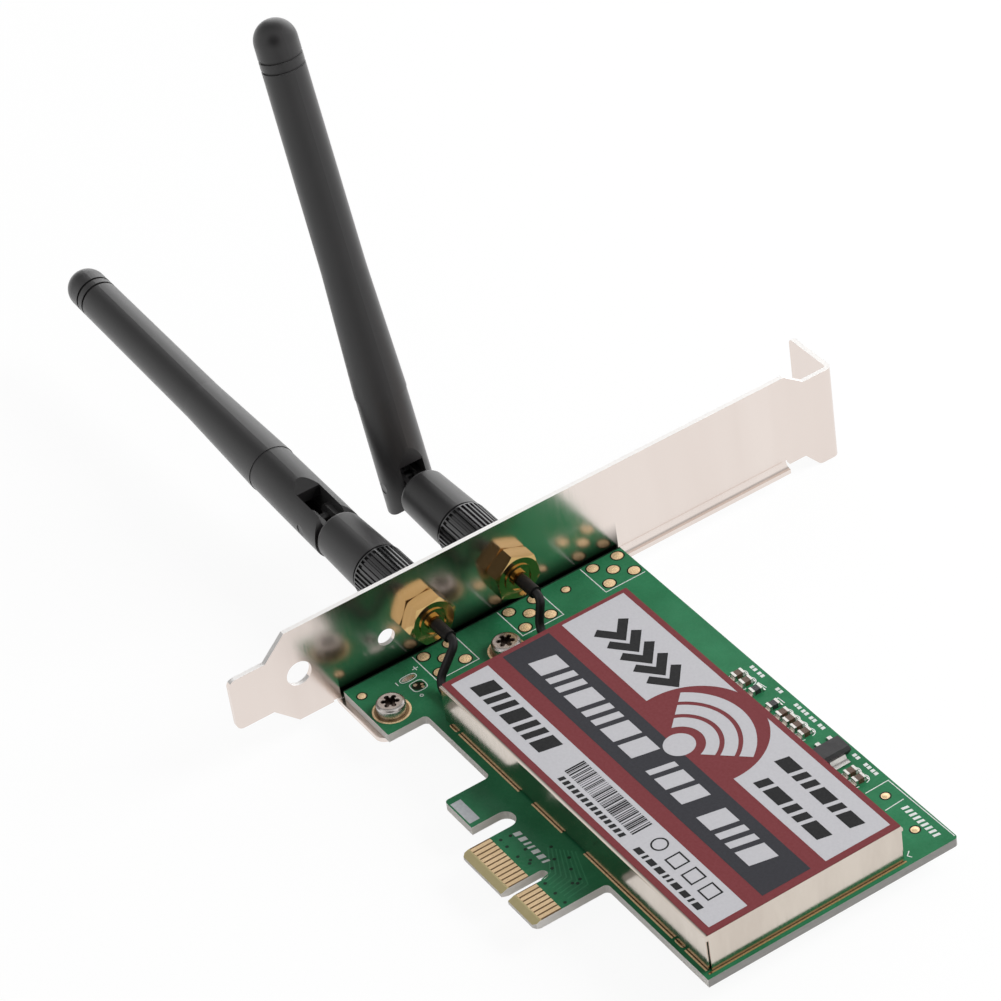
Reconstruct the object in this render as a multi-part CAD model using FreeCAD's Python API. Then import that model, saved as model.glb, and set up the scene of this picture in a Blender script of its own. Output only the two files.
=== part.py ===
import FreeCAD, Part
import math
import os

from FreeCAD import Vector

# A wireless network expansion card with a full-height bracket and two swivel antennas, in millimetres.
# X runs from the bracket to the far end, Y from the contact tongue to the upper edge, Z out of the
# component side. The origin is the key notch on the tongue's leading edge, at half the board's thickness.

# Circuit board outline
board_thick = 1.57
board_far = 34.8
board_top = 60.5
board_shelf = 13.6
board_heel = 5.7
heel_end = -42.8
recess_low = 13.0
keeper_left = -23.8
keeper_right = -15.9
keeper_low = 4.3
keeper_slot_top = 11.1
tongue_left = -12.15
tongue_right = 8.15
tongue_corner = 0.5
key_width = 1.9
key_depth = 7.95
bevel_length = 1.2
bevel_drop = 0.45
slot_flat = 0.075
inner_corner = 0.9
outer_corner = 0.7
board_gap = 0.4

# Edge contacts: eleven on the bracket side of the key, seven beyond it, on both faces
contact_pitch = 1.0
contact_width = 0.7
contact_low = 1.4
contact_top = 5.2
contact_from_key = 1.5
contacts_before_key = 11
contacts_after_key = 7
plating = 0.04

# Bracket: one folded sheet
key_to_bracket = 57.15
sheet = 0.86
plate_width = 18.42
plate_high = 17.56
plate_foot = -13.6
foot_width = 10.19
foot_corner = 1.3
foot_neck = -6.7
foot_shoulder = -2.5
bracket_length = 120.02
fold_high = 14.7
fold_low = -4.2
fold_slope_start = 96.4
fold_slope_end = 100.2
ear_start = 99.4
ear_end = 102.3
ear_corner = 1.4
tab_depth = 11.43
tab_bend = 0.4
tab_corner = 1.0
notch_width = 4.42
notch_reach = 6.35
notch_deep = 5.0
lip_start = 61.2
lip_end = 95.2
lip_reach = 1.3
lip_bend = 1.1
screw_tab_width = 9.0
screw_tab_end = 3.6
screw_tab_bend = 0.3
screw_tab_corner = 2.0
relief = 0.8
vent_hole_y = -1.1
vent_hole_radius = 2.3
lamp_hole_y = 15.3
lamp_hole_z = 6.6
lamp_hole_radius = 1.6

# Bracket screws: pan heads with a six-lobe drive
screw_x = -47.4
screw_y = (9.3, 31.7)
screw_radius = 1.45
screw_clearance = 0.06
screw_head_radius = 2.5
screw_head_height = 2.0
screw_head_round = 0.6
screw_tail = 1.2
drive_radius = 1.15
drive_lobe = 0.42
drive_depth = 1.0
screw_pad_radius = 3.25

# Plated holes: three five-hole coaxial footprints and single holes
footprint_x = -52.6
footprint_y = 22.8
footprint_pitch = 16.8
footprint_count = 3
footprint_half = 2.5
plated_bore = 0.65
plated_wall = 0.2
small_bore = 0.35
ring_rise = 0.03
single_holes = ((-53.6, 7.4), (-53.6, 47.5), (29.2, 56.5), (20.3, 57.6))

# Shield can: a folded tin box soldered over the radio module
can_left = -40.1
can_right = 33.6
can_low = 14.8
can_high = 51.3
can_height = 7.15
can_sheet = 0.3
can_edge = 0.5
can_seam_gap = 0.12
can_seam_top = 0.9
foot_notch_height = 0.5
ground_strip_width = 0.42
ground_strips = ((-35.4, -17.9), (-14.2, -5.7), (0.4, 24.2), (27.5, 33.1))
tab_slots = (-37.1, 25.8)
tab_slot_length = 2.0
tab_slot_width = 0.7
can_tab_length = 1.5
can_tab_reach = 1.2
cable_gate_width = 2.4
cable_gate_height = 2.3
label_inset = 0.22
label_low_inset = 0.4
label_thick = 0.12

# Radio module inside the can
module_length = 50.95
module_width = 30.0
module_thick = 1.0
module_rise = 2.2
socket_gap = 0.35
socket_overlap = 4.6
socket_length = 7.6
socket_height = 4.0
socket_slot_clearance = 0.05
radio_chip_size = 9.0
radio_chip_height = 0.9
radio_chip_inset = 25.0
crystal_size = (3.2, 2.5, 0.7)
crystal_gap = 2.0
post_radius = 2.0
post_inset = 2.6
post_floor = 0.5
post_screw_gap = 0.1
module_screw_radius = 0.9
module_screw_head = 1.8
module_screw_head_height = 1.0

# Power parts beside the can
parts_row_y = 56.5
capacitor_x = (-17.2, -15.0, -5.0, -3.1, -1.1, 0.9, 12.9, 15.0)
resistor_x = (-12.3, -7.6)
chip_length = 2.0
chip_width = 1.25
chip_height = 0.9
chip_cap = 0.45
chip_cap_rise = 0.03
regulator_x = 7.4
regulator_body_x = 3.5
regulator_body_y = 6.0
regulator_body_height = 1.6
regulator_rise = 0.1
regulator_draft = 0.25
lead_span = 7.0
lead_pitch = 2.3
lead_width = 0.75
lead_thick = 0.3
lead_count = 3
tab_lead_width = 3.0
lead_foot = 1.0

# Coaxial jacks through the bracket
jack_y = (22.65, 39.3)
jack_z = 7.8
jack_hex_flats = 7.9
jack_hex_length = 3.3
jack_hex_turn = (5.6, 38.0)
jack_hex_chamfer = 0.35
jack_collar_radius = 2.7
jack_collar_wall = 0.5
jack_collar_rise = 0.25
jack_thread_radius = 3.1
jack_thread_length = 10.0
jack_bore_radius = 2.25
jack_step_radius = 1.0
jack_hole_clearance = 0.1
washer_radius = 4.4
washer_thick = 0.6
jack_nut_flats = 8.0
jack_nut_thick = 2.0
jack_pin_radius = 0.75
jack_pin_socket = 0.47
jack_pin_length = 9.0
jack_pin_spare = 1.0
ferrule_radius = 1.5
ferrule_length = 0.85
ferrule_neck = 1.35
shrink_radius = 1.1
shrink_length = 4.0

# Pigtail cables, held from the jack to the plug on the module
cable_radius = 0.75
cable_bends = (1.5, 2.5, 9.0, 6.0)
cable_gate_y = (17.8, 37.6)
cable_lift = 0.3
cable_drop_x = -47.4
cable_drop_slant = 0.8
cable_run_inside = 9.0
cable_rise_gap = 3.5
plug_y = (27.0, 39.0)
plug_inset = 7.0
plug_radius = 1.5
plug_height = 1.6
plug_tail = 1.6

# Antenna coupling nut and plug
coupling_gap = 0.4
coupling_length = 10.1
coupling_radius = 4.9
coupling_chamfer = 0.25
coupling_rim = 0.5
flute_count = 36
flute_depth = 0.4
flute_crest = 0.34
flute_root = 0.36
turn_clearance = 0.06
seat_clearance = 0.05
plug_flange_radius = 3.0
plug_flange_thick = 1.6
plug_neck_radius = 2.5
plug_neck_length = 7.0
plug_bead_rise = 0.4
plug_bead_length = 1.2
plug_bore_radius = 1.6
plug_contact_radius = 0.45
plug_contact_reach = 4.0

# Antenna knuckle and blade, each length measured from the hinge pin
knuckle_gap = 0.25
knuckle_radius = 4.4
knuckle_wide = 4.75
knuckle_length = 12.2
knuckle_edge = 0.5
pin_radius = 1.0
pin_recess = 0.12
tongue_thick = 4.0
tongue_slit = 2.1
tongue_radius = 2.2
tongue_gap = 0.3
arm_radius = 5.0
arm_gap = 0.3
fork_radius = 4.55
fork_step = 0.1
slot_width = 4.5
slot_back = 3.9
ramp_length = 3.2
ramp_drop = 0.7
pocket_back = 8.0
pocket_top = 1.6
boss_radius = 2.0
boss_clearance = 0.1
seam_offset = 16.6
seam_radius = 4.55
spigot_length = 4.0
tube_wall = 1.2
blade_length = 85.0
flare_offset = 40.0
flare_radius = 3.85
tip_radius = 3.7
groove_offsets = (76.9, 78.7)
groove_width = 0.5
groove_depth = 0.3
coax_radius = 0.7
sleeve_gap = 1.0
sleeve_radius = 2.1
sleeve_wall = 0.3
sleeve_length = 24.0
wire_radius = 0.4
wire_length = 26.0
fit_clearance = 0.05
antenna_tilt = (2.5, 76.0)

# How far a cutting shape stands past the face it opens
past = 1.0

# Places worked out from the sizes above
face = board_thick / 2
plate_in = -key_to_bracket
plate_out = plate_in - sheet
plate_low = plate_high - plate_width
plate_mid = plate_high - plate_width / 2
board_near = plate_in + board_gap
bracket_top = plate_foot + bracket_length
can_top = face + can_height
module_low = face + module_rise
module_high = module_low + module_thick
socket_left = can_right - can_sheet - socket_gap - socket_length
module_right = socket_left + socket_overlap
module_left = module_right - module_length
radio_chip_x = module_left + radio_chip_inset
plug_x = module_left + plug_inset
can_middle = (can_low + can_high) / 2
thread_end = plate_out - jack_thread_length
jack_nut_end = plate_out - washer_thick - jack_nut_thick
coupling_start = jack_nut_end - coupling_gap
coupling_end = coupling_start - coupling_length
plug_face = thread_end - seat_clearance
flange_back = plug_face - plug_flange_thick
knuckle_start = coupling_end - knuckle_gap
neck_end = knuckle_start - plug_neck_length
shoulder = knuckle_start - knuckle_length
pin_x = shoulder - arm_radius - arm_gap
slot_floor = -tongue_radius - tongue_gap
seam = pin_x - seam_offset
dome = pin_x - blade_length + tip_radius
taper = (seam_radius - tip_radius) / (seam - dome)
coax_end = seam - spigot_length - sleeve_gap - sleeve_length
hex_face = plate_in + jack_hex_length
shrink_start = hex_face + ferrule_length
shrink_end = shrink_start + shrink_length
axis_x = Vector(1, 0, 0)
axis_y = Vector(0, 1, 0)
axis_z = Vector(0, 0, 1)


def box(x0, x1, y0, y1, z0, z1):
    return Part.makeBox(x1 - x0, y1 - y0, z1 - z0, Vector(x0, y0, z0))


def rod(radius, x0, x1):
    return Part.makeCylinder(radius, x1 - x0, Vector(x0, 0, 0), axis_x)


def post(radius, x, y, z0, z1):
    return Part.makeCylinder(radius, z1 - z0, Vector(x, y, z0), axis_z)


def prism(points, push):
    return Part.Face(Part.makePolygon(points + points[:1])).extrude(push)


def turned(profile):
    # A closed profile of (x, radius) points, turned about the X axis.
    wire = Part.makePolygon([Vector(x, 0, r) for x, r in profile + profile[:1]])
    return Part.Face(wire).revolve(Vector(0, 0, 0), axis_x, 360)


def hexagon(flats, x0, x1, turn):
    radius = flats / math.sqrt(3)
    angles = [math.radians(turn + 60 * k) for k in range(6)]
    corners = [Vector(x0, radius * math.cos(a), radius * math.sin(a)) for a in angles]
    return prism(corners, Vector(x1 - x0, 0, 0))


def rounded(solid, corners, radius, along):
    # Rounds the edges that run along one axis through the given corner points.
    edges = []
    for edge in solid.Edges:
        start = edge.Vertexes[0].Point
        run = edge.Vertexes[-1].Point - start
        if run.Length > 1e-6 and run.cross(along).Length < 1e-6:
            offsets = [(start - corner).cross(along).Length for corner in corners]
            if min(offsets) < 1e-4:
                edges.append(edge)
    return solid.makeFillet(radius, edges)


def bent_strip(at, rise, reach, inner, push):
    # A sheet bent through a right angle: it comes down one face and turns out along the other.
    turn = inner * (1 - math.sqrt(0.5))
    outer_turn = inner - (inner + sheet) * math.sqrt(0.5)
    edges = [
        Part.makeLine(at(0, rise), at(0, inner)),
        Part.Arc(at(0, inner), at(turn, turn), at(inner, 0)).toShape(),
        Part.makeLine(at(inner, 0), at(reach, 0)),
        Part.makeLine(at(reach, 0), at(reach, -sheet)),
        Part.makeLine(at(reach, -sheet), at(inner, -sheet)),
        Part.Arc(at(inner, -sheet), at(outer_turn, outer_turn), at(-sheet, inner)).toShape(),
        Part.makeLine(at(-sheet, inner), at(-sheet, rise)),
        Part.makeLine(at(-sheet, rise), at(0, rise)),
    ]
    return Part.Face(Part.Wire(edges)).extrude(push)


def footprint_holes():
    holes = []
    for k in range(footprint_count):
        y = footprint_y + k * footprint_pitch
        holes.append((footprint_x, y))
        for dx in (-footprint_half, footprint_half):
            for dy in (-footprint_half, footprint_half):
                holes.append((footprint_x + dx, y + dy))
    return holes


def plated_holes():
    # Every plated hole as x, y and bore radius.
    holes = [(x, y, plated_bore) for x, y in footprint_holes()]
    holes += [(x, y, small_bore) for x, y in single_holes]
    return holes


def tab_slot(x, wall, low, high):
    # A slot with round ends under the can's wall, grown all round by its plating's wall.
    half = tab_slot_width / 2 + wall
    reach = (tab_slot_length - tab_slot_width) / 2
    y = can_low + can_sheet / 2
    slot = box(x - reach, x + reach, y - half, y + half, low, high)
    return slot.fuse([post(half, x + side * reach, y, low, high) for side in (1, -1)])


def circuit_board():
    outline = [
        (board_near, board_heel), (heel_end, board_heel), (heel_end, recess_low),
        (keeper_left, recess_low), (keeper_left, keeper_low), (keeper_right, keeper_low),
        (keeper_right, keeper_slot_top), (tongue_left, keeper_slot_top),
        (tongue_left, tongue_corner), (tongue_left + tongue_corner, 0),
        (tongue_right - tongue_corner, 0), (tongue_right, tongue_corner),
        (tongue_right, board_shelf), (board_far, board_shelf),
        (board_far, board_top), (board_near, board_top),
    ]
    solid = prism([Vector(x, y, -face) for x, y in outline], Vector(0, 0, board_thick))
    slot_round = (tongue_left - keeper_right) / 2 - slot_flat
    slot_corners = ((keeper_right, keeper_slot_top), (tongue_left, keeper_slot_top))
    inner = ((heel_end, recess_low), (keeper_left, recess_low), (tongue_right, board_shelf))
    outer = ((board_far, board_top), (keeper_left, keeper_low))
    rounds = ((slot_corners, slot_round), (inner, inner_corner), (outer, outer_corner))
    for corners, radius in rounds:
        solid = rounded(solid, [Vector(x, y, 0) for x, y in corners], radius, axis_z)
    half = key_width / 2
    solid = solid.cut(box(-half, half, -past, key_depth - half, -face, face))
    solid = solid.cut(post(half, 0, key_depth - half, -face, face))
    for side in (1, -1):
        wedge = [
            Vector(tongue_left, bevel_length, side * face),
            Vector(tongue_left, -bevel_length, side * face),
            Vector(tongue_left, -bevel_length, side * (face - 2 * bevel_drop)),
        ]
        solid = solid.cut(prism(wedge, Vector(tongue_right - tongue_left, 0, 0)))
    drills = [post(bore + plated_wall, x, y, -face, face) for x, y, bore in plated_holes()]
    hole = screw_radius + 2 * screw_clearance
    drills += [post(hole, screw_x, y, -face, face) for y in screw_y]
    drills += [tab_slot(x, plated_wall, -face, face) for x in tab_slots]
    return solid.cut(Part.makeCompound(drills))


def edge_contacts(side):
    first = -contact_from_key - (contacts_before_key - 1) * contact_pitch
    middles = [first + k * contact_pitch for k in range(contacts_before_key)]
    middles += [contact_from_key + k * contact_pitch for k in range(contacts_after_key)]
    low, high = sorted((side * face, side * (face + plating)))
    half = contact_width / 2
    return [box(x - half, x + half, contact_low, contact_top, low, high) for x in middles]


def plated_pads():
    # Plated barrels and slots, the ground strips along the can's foot and the rings under the screws.
    pads = []
    for x, y, bore in plated_holes():
        barrel = post(bore + plated_wall, x, y, -face, face + ring_rise)
        pads.append(barrel.cut(post(bore, x, y, -face - past, face + past)))
    for x in tab_slots:
        sleeve = tab_slot(x, plated_wall, -face, face + ring_rise)
        pads.append(sleeve.cut(tab_slot(x, 0, -face - past, face + past)))
    outside = can_low - ground_strip_width
    for x0, x1 in ground_strips:
        pads.append(box(x0, x1, outside, can_low, face, face + plating))
    far_side = can_right + ground_strip_width
    pads.append(box(can_right, far_side, outside, can_high, face, face + plating))
    hole = screw_radius + 2 * screw_clearance
    for y in screw_y:
        ring = post(screw_pad_radius, screw_x, y, face, face + plating)
        pads.append(ring.cut(post(hole, screw_x, y, face - past, face + past)))
    return pads


def screw_tab(y):
    # A tab under the board with a tapped hole for one bracket screw.
    reach = screw_x + screw_tab_end - plate_in
    low = y - screw_tab_width / 2

    def at(u, v):
        return Vector(plate_in + u, low, -face + v)

    tab = bent_strip(at, 2 * screw_tab_bend, reach, screw_tab_bend, Vector(0, screw_tab_width, 0))
    ends = [Vector(plate_in + reach, low + k * screw_tab_width, 0) for k in (0, 1)]
    tab = rounded(tab, ends, screw_tab_corner, axis_z)
    return tab.cut(post(screw_radius + screw_clearance, screw_x, y, -face - 2 * sheet, 0))


def bracket_plate():
    half = foot_width / 2
    fold_start = bracket_top - sheet - tab_bend
    outline = [
        (plate_foot, plate_mid + half), (foot_neck, plate_mid + half), (foot_shoulder, plate_high),
        (fold_slope_start, plate_high), (fold_slope_end, fold_high), (fold_start, fold_high),
        (fold_start, fold_low), (ear_end, fold_low), (ear_start, plate_low),
        (foot_shoulder, plate_low), (foot_neck, plate_mid - half), (plate_foot, plate_mid - half),
    ]
    solid = prism([Vector(plate_out, y, z) for y, z in outline], Vector(sheet, 0, 0))
    foot = [Vector(0, plate_foot, plate_mid + side * half) for side in (1, -1)]
    solid = rounded(solid, foot, foot_corner, axis_x)
    return rounded(solid, [Vector(0, ear_end, fold_low)], ear_corner, axis_x)


def bracket_top_tab():
    # The tab that the chassis screw clamps, bent away from the board, with its screw notch.
    inside = bracket_top - sheet

    def at(u, v):
        return Vector(plate_out - u, inside - v, fold_low)

    reach = tab_depth - sheet
    tab = bent_strip(at, 2 * tab_bend, reach, tab_bend, Vector(0, 0, fold_high - fold_low))
    end = plate_out - reach
    tab = rounded(tab, [Vector(end, 0, fold_low), Vector(end, 0, fold_high)], tab_corner, axis_y)
    middle = plate_in - notch_reach
    half = notch_width / 2
    low = inside - past
    turn = fold_low + notch_deep - half
    slot = box(middle - half, middle + half, low, bracket_top + past, fold_low - past, turn)
    end_round = Part.makeCylinder(half, sheet + 2 * past, Vector(middle, low, turn), axis_y)
    return tab.cut(slot.fuse(end_round))


def bracket():
    def lip_at(u, v):
        return Vector(plate_in + u, lip_start, -face + v)

    solid = bracket_plate()
    spans = [(lip_start - relief, lip_end + relief, lip_bend)]
    for y in screw_y:
        half = screw_tab_width / 2 + relief
        spans.append((y - half, y + half, screw_tab_bend))
    for y0, y1, bend in spans:
        solid = solid.cut(box(plate_out, plate_in, y0, y1, plate_low - past, bend - face))
    lip = bent_strip(lip_at, 2 * lip_bend, lip_reach, lip_bend, Vector(0, lip_end - lip_start, 0))
    solid = solid.fuse([lip, bracket_top_tab()] + [screw_tab(y) for y in screw_y])
    hole = jack_thread_radius + jack_hole_clearance
    holes = [(hole, y, jack_z) for y in jack_y]
    holes.append((vent_hole_radius, vent_hole_y, plate_mid))
    holes.append((lamp_hole_radius, lamp_hole_y, lamp_hole_z))
    cuts = []
    for radius, y, z in holes:
        start = Vector(plate_out - past, y, z)
        cuts.append(Part.makeCylinder(radius, sheet + 2 * past, start, axis_x))
    return solid.cut(Part.makeCompound(cuts)).removeSplitter()


def bracket_screw(y):
    seat = face + plating
    top = seat + screw_head_height
    head = post(screw_head_radius, screw_x, y, seat, top)
    rim = [edge for edge in head.Edges if abs(edge.BoundBox.ZMin - top) < 1e-6]
    head = head.makeFillet(screw_head_round, rim)
    screw = head.fuse(post(screw_radius, screw_x, y, -face - sheet - screw_tail, seat))
    floor = top - drive_depth
    drive = post(drive_radius - drive_lobe / 2, screw_x, y, floor, top + past)
    for k in range(6):
        angle = math.radians(60 * k)
        lobe_x = screw_x + drive_radius * math.cos(angle)
        lobe_y = y + drive_radius * math.sin(angle)
        drive = drive.fuse(post(drive_lobe, lobe_x, lobe_y, floor, top + past))
    return screw.cut(drive)


def shield_can():
    outer = box(can_left, can_right, can_low, can_high, face, can_top)
    rims = [edge for edge in outer.Edges if abs(edge.BoundBox.ZMin - can_top) < 1e-6]
    outer = outer.makeFillet(can_edge, rims)
    inside = (can_left + can_sheet, can_right - can_sheet, can_low + can_sheet, can_high - can_sheet)
    shell = outer.cut(box(*inside, face - past, can_top - can_sheet))
    seam = can_sheet + can_seam_gap
    seam_top = can_top - can_seam_top
    cuts = []
    for x in (can_left, can_right - seam):
        for y in (can_low, can_high - seam):
            cuts.append(box(x, x + seam, y, y + seam, face - past, seam_top))
    notch_top = face + foot_notch_height
    wall = (can_low, can_low + can_sheet)
    # The gap before the last strip holds a tab slot instead of a notch.
    for (_, x0), (x1, _) in zip(ground_strips[:-2], ground_strips[1:-1]):
        cuts.append(box(x0, x1, *wall, face - past, notch_top))
    cuts += [cable_gate(y) for y in cable_gate_y]
    rest = face + 2 * ring_rise
    cuts += [tab_slot(x, 2 * plated_wall, face - past, rest) for x in tab_slots]
    half = can_tab_length / 2
    tabs = [box(x - half, x + half, *wall, face - can_tab_reach, rest) for x in tab_slots]
    return shell.cut(Part.makeCompound(cuts)).fuse(tabs)


def cable_gate(y):
    # An arched opening in the can's wall, standing on the board.
    half = cable_gate_width / 2
    spring = face + cable_gate_height - half
    start = can_left - past
    gate = box(start, can_left + can_sheet, y - half, y + half, face - past, spring)
    arch = Part.makeCylinder(half, can_sheet + past, Vector(start, y, spring), axis_x)
    return gate.fuse(arch)


def can_label():
    x0 = can_left + label_inset
    x1 = can_right - label_inset
    y0 = can_low + label_low_inset
    y1 = can_high - label_inset
    solid = box(x0, x1, y0, y1, can_top, can_top + label_thick)
    corners = [Vector(x, y, 0) for x in (x0, x1) for y in (y0, y1)]
    return rounded(solid, corners, label_inset, axis_z)


def post_places():
    inset = module_width / 2 - post_inset
    return [(module_left + post_inset, can_middle + side * inset) for side in (-1, 1)]


def module_board():
    half = module_width / 2
    y0 = can_middle - half
    solid = box(module_left, module_right, y0, y0 + module_width, module_low, module_high)
    bore = module_screw_radius + fit_clearance
    holes = [post(bore, x, y, module_low, module_high) for x, y in post_places()]
    return solid.cut(Part.makeCompound(holes))


def module_socket():
    y0 = can_middle - module_width / 2
    y1 = y0 + module_width
    gap = socket_slot_clearance
    body = box(socket_left, socket_left + socket_length, y0, y1, face, face + socket_height)
    return body.cut(box(socket_left, module_right + gap, y0, y1, module_low - gap, module_high + gap))


def module_posts():
    bore = module_screw_radius + fit_clearance
    posts = []
    for x, y in post_places():
        body = post(post_radius, x, y, face, module_low)
        posts.append(body.cut(post(bore, x, y, face + post_floor, module_low)))
    return posts


def module_screws():
    tail = face + post_floor + post_screw_gap
    screws = []
    for x, y in post_places():
        head = post(module_screw_head, x, y, module_high, module_high + module_screw_head_height)
        screws.append(head.fuse(post(module_screw_radius, x, y, tail, module_high)))
    return screws


def radio_chip():
    half = radio_chip_size / 2
    return box(radio_chip_x - half, radio_chip_x + half, can_middle - half, can_middle + half,
               module_high, module_high + radio_chip_height)


def module_crystal():
    length, width, height = crystal_size
    left = radio_chip_x + radio_chip_size / 2 + crystal_gap
    return box(left, left + length, can_middle, can_middle + width, module_high, module_high + height)


def chip_part(x):
    # A surface-mount chip: a body with a metal cap at each end, standing across the row.
    half = chip_width / 2
    low = parts_row_y - chip_length / 2
    high = parts_row_y + chip_length / 2
    base = face + chip_cap_rise
    body = box(x - half, x + half, low + chip_cap, high - chip_cap, base, base + chip_height)
    rise = half + chip_cap_rise
    top = base + chip_height + chip_cap_rise
    ends = [box(x - rise, x + rise, low, low + chip_cap, face, top)]
    ends.append(box(x - rise, x + rise, high - chip_cap, high, face, top))
    return body.fuse(ends)


def regulator_body():
    base = face + regulator_rise
    half_x = regulator_body_x / 2
    half_y = regulator_body_y / 2
    waist = base + regulator_body_height / 2
    slabs = []
    levels = ((base, regulator_draft), (waist, 0), (base + regulator_body_height, regulator_draft))
    for z, shrink in levels:
        x = half_x - shrink
        y = half_y - shrink
        turns = ((-x, -y), (x, -y), (x, y), (-x, y), (-x, -y))
        slabs.append(Part.makePolygon([Vector(regulator_x + a, parts_row_y + b, z) for a, b in turns]))
    return Part.makeLoft(slabs, True, True)


def regulator_leads():
    # Gull-wing leads on the bracket side and one wide heat tab opposite.
    leads = []
    half_x = regulator_body_x / 2
    out = lead_span / 2
    top = face + regulator_rise + regulator_body_height / 2
    widths = [((k - (lead_count - 1) / 2) * lead_pitch, lead_width, -1) for k in range(lead_count)]
    widths.append((0, tab_lead_width, 1))
    for dy, width, side in widths:
        knee = half_x + (out - half_x - lead_foot) / 2
        outline = [
            (half_x, top), (knee, top), (out - lead_foot, face + lead_thick), (out, face + lead_thick),
            (out, face), (out - lead_foot - lead_thick / 2, face), (knee - lead_thick / 2, top - lead_thick),
            (half_x, top - lead_thick),
        ]
        start = parts_row_y + dy - width / 2
        points = [Vector(regulator_x + side * x, start, z) for x, z in outline]
        leads.append(prism(points, Vector(0, width, 0)))
    return leads


def jack_body(index):
    # A hexagon with its corners turned off at both ends, a collar on its face and the threaded barrel.
    radius = jack_hex_flats / math.sqrt(3)
    edge = radius - 2 * jack_hex_chamfer
    cone = turned([
        (plate_in, 0), (plate_in, edge), (plate_in + jack_hex_chamfer, radius),
        (hex_face - jack_hex_chamfer, radius), (hex_face, edge), (hex_face, 0),
    ])
    body = hexagon(jack_hex_flats, plate_in, hex_face, jack_hex_turn[index]).common(cone)
    top = hex_face + jack_collar_rise
    collar = rod(jack_collar_radius, hex_face, top)
    collar = collar.cut(rod(jack_collar_radius - jack_collar_wall, hex_face, top))
    body = body.fuse([collar, rod(jack_thread_radius, thread_end, plate_in)])
    body = body.cut(rod(jack_bore_radius, thread_end, plate_in))
    return body.cut(rod(jack_step_radius, plate_in, hex_face))


def jack_insulator():
    body = rod(jack_bore_radius, thread_end, plate_in)
    return body.cut(rod(jack_pin_radius, thread_end, plate_in))


def jack_pin():
    pin = rod(jack_pin_radius, thread_end, thread_end + jack_pin_length)
    mouth = thread_end + plug_contact_reach + jack_pin_spare
    return pin.cut(rod(jack_pin_socket, thread_end, mouth))


def lock_washer():
    ring = rod(washer_radius, plate_out - washer_thick, plate_out)
    return ring.cut(rod(jack_thread_radius + jack_hole_clearance, plate_out - washer_thick, plate_out))


def jack_nut(index):
    start = plate_out - washer_thick
    nut = hexagon(jack_nut_flats, jack_nut_end, start, jack_hex_turn[index])
    return nut.cut(rod(jack_thread_radius, jack_nut_end, start))


def crimp_ferrule():
    # A flanged sleeve on the cable's end, its neck pressed into the back of the jack.
    start = hex_face - ferrule_neck
    body = rod(jack_step_radius, start, hex_face).fuse(rod(ferrule_radius, hex_face, shrink_start))
    return body.cut(rod(cable_radius, start, shrink_start))


def heat_shrink():
    return rod(shrink_radius, shrink_start, shrink_end).cut(rod(cable_radius, shrink_start, shrink_end))


def cable_route(index):
    # Out of the jack, down to the board, through the can's gate and up to the plug on the module.
    gate = cable_gate_y[index]
    plug = plug_y[index]
    low = face + cable_radius + cable_lift
    height = module_high + plug_height / 2
    return [
        Vector(hex_face - ferrule_neck, jack_y[index], jack_z),
        Vector(cable_drop_x, jack_y[index], jack_z),
        Vector(cable_drop_x + cable_drop_slant, gate, low),
        Vector(can_left + cable_run_inside, gate, low),
        Vector(module_left - cable_rise_gap, plug, height),
        Vector(plug_x - plug_tail - plug_radius, plug, height),
    ]


def bent_wire(points, radii):
    # Straight runs joined by tangent arcs, one radius for each inner point.
    edges = []
    start = points[0]
    for before, corner, after, radius in zip(points[:-2], points[1:-1], points[2:], radii):
        back = (before - corner).normalize()
        ahead = (after - corner).normalize()
        half = back.getAngle(ahead) / 2
        run = radius / math.tan(half)
        middle = (back + ahead).normalize()
        centre = corner + middle * (radius / math.sin(half))
        enter = corner + back * run
        leave = corner + ahead * run
        edges.append(Part.makeLine(start, enter))
        edges.append(Part.Arc(enter, centre - middle * radius, leave).toShape())
        start = leave
    edges.append(Part.makeLine(start, points[-1]))
    return Part.Wire(edges)


def pigtail_cable(index):
    route = cable_route(index)
    ring = Part.Wire(Part.makeCircle(cable_radius, route[0], axis_x))
    path = bent_wire(route, cable_bends)
    print(f"cable {index + 1}: {path.Length:.1f} mm long, bends {cable_bends} mm")
    return path.makePipeShell([ring], True, False)


def micro_plug(index):
    y = plug_y[index]
    height = module_high + plug_height / 2
    cap = post(plug_radius, plug_x, y, module_high, module_high + plug_height)
    start = plug_x - plug_radius - plug_tail
    tail = Part.makeCylinder(plug_height / 2, plug_tail + plug_radius, Vector(start, y, height), axis_x)
    return cap.fuse(tail)


def coupling_nut():
    # A nut with flat-topped flutes, a plain rim, a threaded bore and a lip that holds the plug's flange.
    points = []
    root = coupling_radius - flute_depth
    slope = (1 - flute_crest - flute_root) / 2
    shares = (
        (0, coupling_radius), (flute_crest, coupling_radius),
        (flute_crest + slope, root), (1 - slope, root),
    )
    for k in range(flute_count):
        for share, radius in shares:
            angle = 2 * math.pi * (k + share) / flute_count
            points.append(Vector(coupling_end, radius * math.cos(angle), radius * math.sin(angle)))
    nut = prism(points, Vector(coupling_length, 0, 0))
    nut = nut.fuse(rod(coupling_radius, coupling_end, coupling_end + coupling_rim))
    edge = coupling_radius - coupling_chamfer
    nut = nut.common(turned([
        (coupling_end, 0), (coupling_end, edge), (coupling_end + coupling_chamfer, coupling_radius),
        (coupling_start - coupling_chamfer, coupling_radius), (coupling_start, edge), (coupling_start, 0),
    ]))
    lip = flange_back - turn_clearance
    nut = nut.cut(rod(jack_thread_radius + turn_clearance, lip, coupling_start))
    return nut.cut(rod(plug_neck_radius + turn_clearance, coupling_end, lip))


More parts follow.
